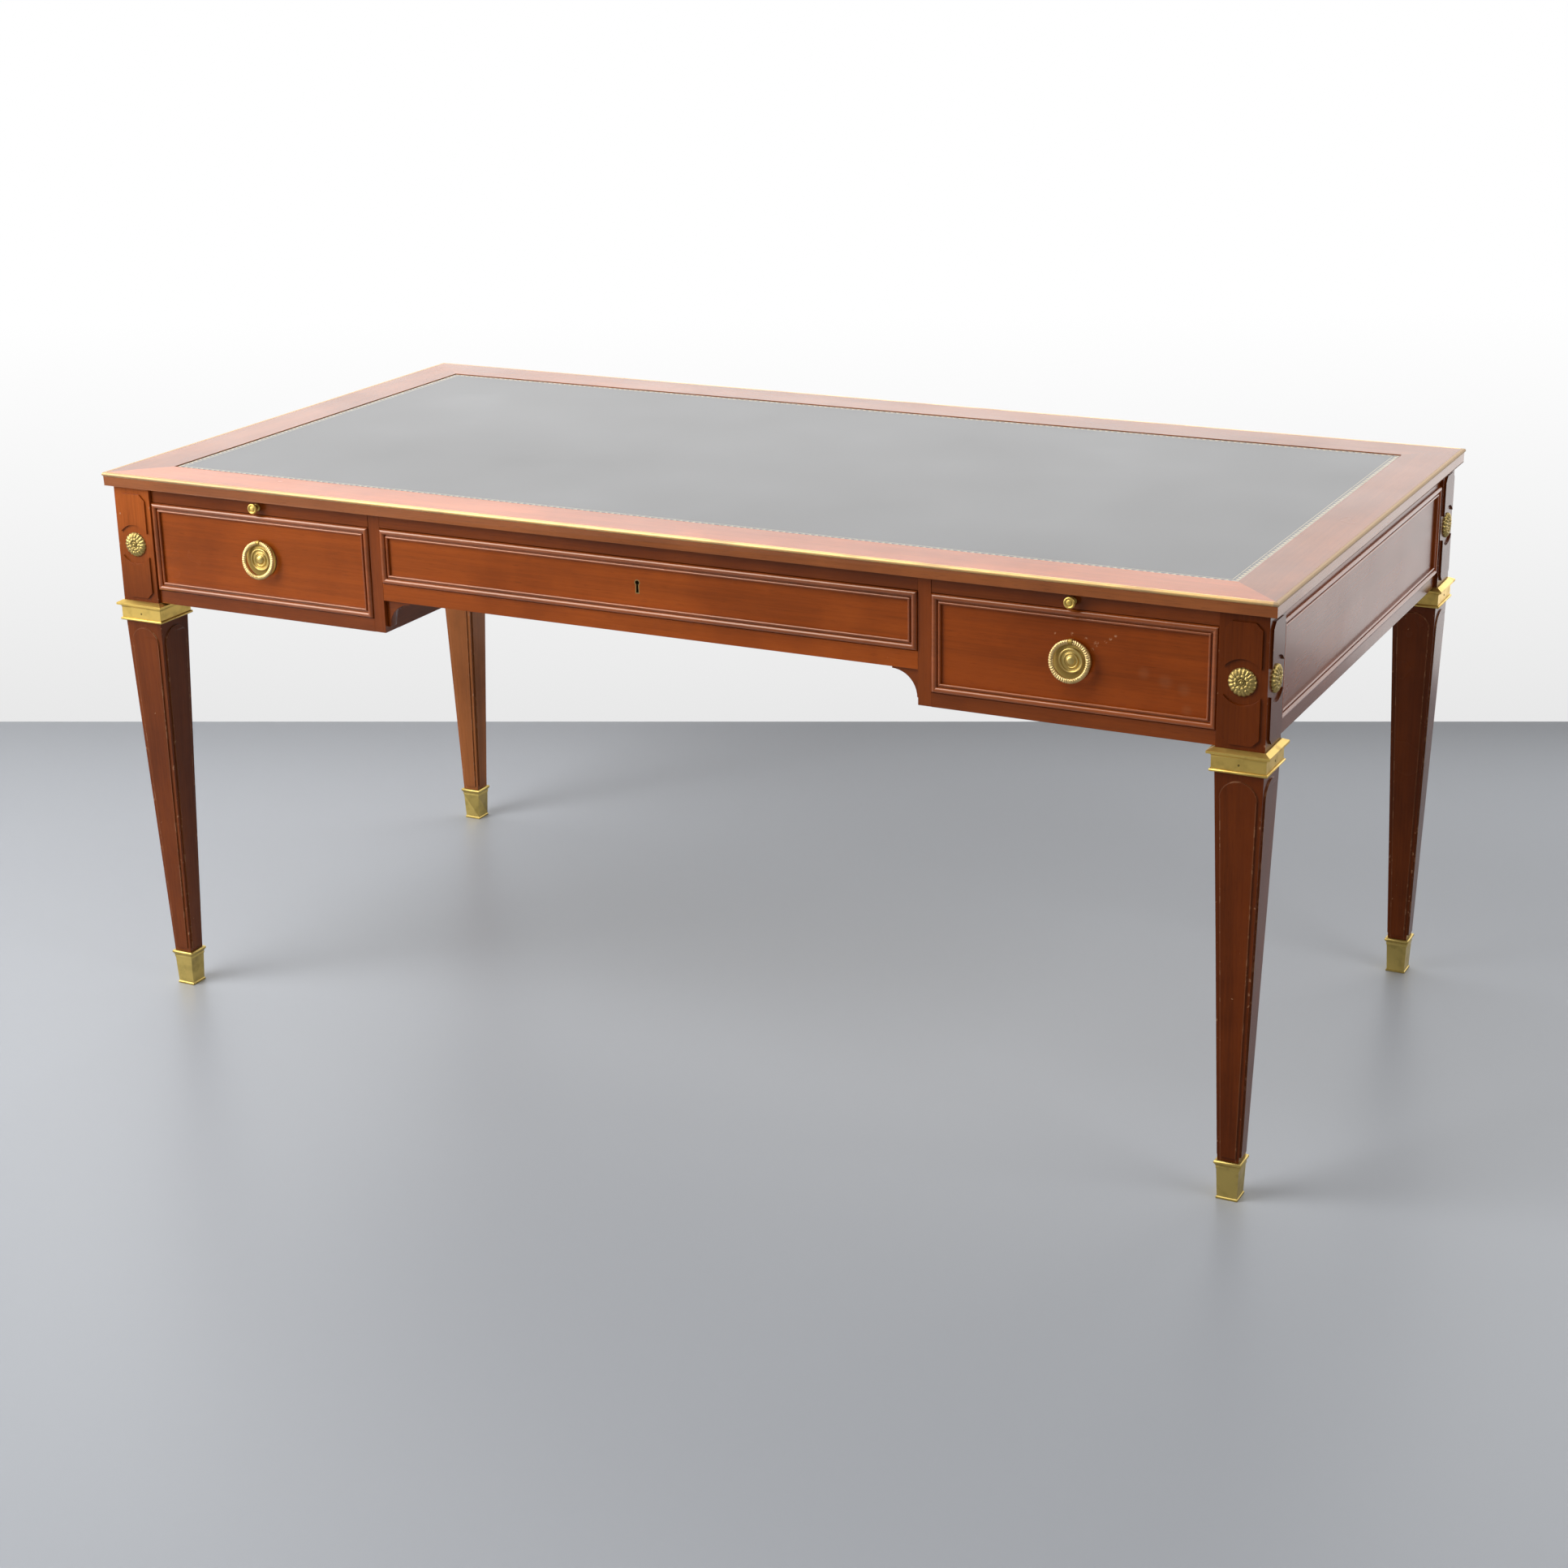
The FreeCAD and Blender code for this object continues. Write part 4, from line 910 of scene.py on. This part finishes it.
# %% Pins of the collars
pin_radius = 1.5 * mm
pin_flattening = 0.6
pin_height = 563.0 * mm
frieze_half = 33.0 * mm
pin_brass = aged_brass("brass_pin", (0.24, 0.17, 0.05), (0.12, 0.08, 0.03), 0.5)
work = bmesh.new()
for side in (-1, 1):
    for end in (-1, 1):
        middle = Vector((side * leg_axis[0], end * leg_axis[1], pin_height))
        for way in (Vector((0, end, 0)), Vector((side, 0, 0))):
            thin_x = 1 - pin_flattening * abs(way.x)
            thin_y = 1 - pin_flattening * abs(way.y)
            flat = Matrix.Diagonal((thin_x, thin_y, 1, 1))
            pin_place = Matrix.Translation(middle + way * frieze_half) @ flat
            bmesh.ops.create_icosphere(work, subdivisions=2, radius=pin_radius, matrix=pin_place)
put_in_place("collar_pins", work, pin_brass, "brass", "carcase")

# %% [markdown]
# The photograph was taken on a grey painted floor close to a white wall. Both are plain sheets.
# The paint has a slight gloss, so a soft dark trail of each leg lies on the floor below its foot.
# The wall glows in paper white, with painted shade that greys it a little near the floor, but only to the
# eye and in reflections.
# It gives no soft light of its own to the desk. It has a face on one side only, so the back of the desk
# can be looked at too.

# %% Floor and wall
room = 9.0
wall_turn = math.radians(23.8)
wall_foot = Vector((0.0, 1.284, 0))
along_wall = Vector((math.cos(wall_turn), math.sin(wall_turn), 0))
out_of_wall = Vector((math.sin(wall_turn), -math.cos(wall_turn), 0))


def flat_sheet(name, half_size, matrix, finish):
    """Adds one square sheet that belongs to the room, not to the desk."""
    sheet = bmesh.new()
    bmesh.ops.create_grid(sheet, x_segments=1, y_segments=1, size=half_size, matrix=matrix)
    mesh = bpy.data.meshes.new(name)
    sheet.to_mesh(mesh)
    sheet.free()
    mesh.materials.append(finish)
    piece = bpy.data.objects.new(name, mesh)
    bpy.context.scene.collection.objects.link(piece)
    print(name, "faces:", len(mesh.polygons))


floor_finish, tree, shader = new_finish("floor_paint")
shader.inputs["Base Color"].default_value = (0.346, 0.362, 0.388, 1)
shader.inputs["Roughness"].default_value = 0.38
shader.inputs["Specular IOR Level"].default_value = 0.28
flat_sheet("floor", room, Matrix(), floor_finish)

wall_finish, tree, shader = new_finish("wall_paint")
shader.inputs["Base Color"].default_value = (0.85, 0.85, 0.85, 1)
rays = add(tree, "LightPath").outputs
seen = calc(tree, "MAXIMUM", rays["Is Camera Ray"], rays["Is Glossy Ray"])
height = add(tree, "SeparateXYZ", {"Vector": add(tree, "TexCoord").outputs["Object"]}).outputs["Z"]
# Painted shade: the glow falls from full white to 0.81 towards the floor.
shades = {"Value": height, "From Max": 0.75, "To Min": 0.81, "To Max": 1.0}
white = add(tree, "MapRange", shades).outputs["Result"]
glow = add(tree, "Emission", {"Color": (1, 1, 1, 1), "Strength": white}).outputs[0]
front = add(tree, "MixShader", {0: seen, 1: shader.outputs[0], 2: glow}).outputs[0]
from_behind = add(tree, "NewGeometry").outputs["Backfacing"]
nothing = add(tree, "BsdfTransparent").outputs[0]
one_sided = add(tree, "MixShader", {0: from_behind, 1: front, 2: nothing}).outputs[0]
tree.links.new(one_sided, tree.nodes["Material Output"].inputs["Surface"])
upright = Matrix.Rotation(wall_turn, 4, "Z") @ Matrix.Rotation(math.pi / 2, 4, "X")
wall_place = Matrix.Translation(wall_foot + Vector((0, 0, room)))
flat_sheet("wall", room, wall_place @ upright, wall_finish)

# %% [markdown]
# Large soft lamps light the desk as in the photograph. One stands low on the left, so the fronts of
# the drawers are lit and the right-hand side stays in shade. A taller one hangs above it, where the
# mouldings mirror it to the camera as bright lines. One on the right lights the floor there, and two
# at the wall give the pale sheen on the top and on the right-hand side.

# %% Light
world = bpy.data.worlds.new("studio")
bpy.context.scene.world = world
world.use_nodes = True
world.node_tree.nodes["Background"].inputs["Color"].default_value = (1, 1, 1, 1)
world.node_tree.nodes["Background"].inputs["Strength"].default_value = 0.25


def softbox(name, place, target, width, height, radiance):
    """Adds a rectangular lamp that faces a target. Its power follows from its brightness and area."""
    lamp = bpy.data.lights.new(name, "AREA")
    lamp.shape = "RECTANGLE"
    lamp.size = width
    lamp.size_y = height
    lamp.energy = radiance * math.pi * width * height
    holder = bpy.data.objects.new(name, lamp)
    bpy.context.scene.collection.objects.link(holder)
    holder.location = place
    holder.rotation_euler = (Vector(target) - Vector(place)).to_track_quat("-Z", "Y").to_euler()
    holder.visible_camera = False


softbox("key", (-2.6, -2.2, 1.4), (0, -0.3, 0.6), width=1.8, height=2.0, radiance=4.0)
softbox("overhead", (-1.6, -2.2, 2.9), (0, -0.4, 0.6), width=2.0, height=3.2, radiance=5.3)
softbox("right_fill", (3.0, -0.6, 2.2), (1.2, -0.5, 0.2), width=1.5, height=1.5, radiance=3.8)
behind = wall_foot + Vector((0, -0.05, 1.3))
softbox("behind", behind, behind + out_of_wall, width=4.4, height=1.6, radiance=1.4)
low_right = wall_foot + along_wall * 1.7 + Vector((0, -0.05, 0.3))
softbox("low_right", low_right, low_right + out_of_wall, width=1.3, height=0.6, radiance=0.95)

# %% [markdown]
# The camera stands in front, to the right of the middle, at about twice the height of the desk.
# Its place and lens were found by matching corners of the desk to their places in the photograph.

# %% Camera
camera_data = bpy.data.cameras.new("camera")
camera_data.sensor_width = 36.0
camera_data.lens = 63.955
camera = bpy.data.objects.new("camera", camera_data)
camera.location = (1.6919, -3.3112, 1.6070)
camera.rotation_euler = (math.radians(70.541), math.radians(0.995), math.radians(26.817))
bpy.context.scene.collection.objects.link(camera)
bpy.context.scene.camera = camera
bpy.context.scene.view_settings.view_transform = "Standard"
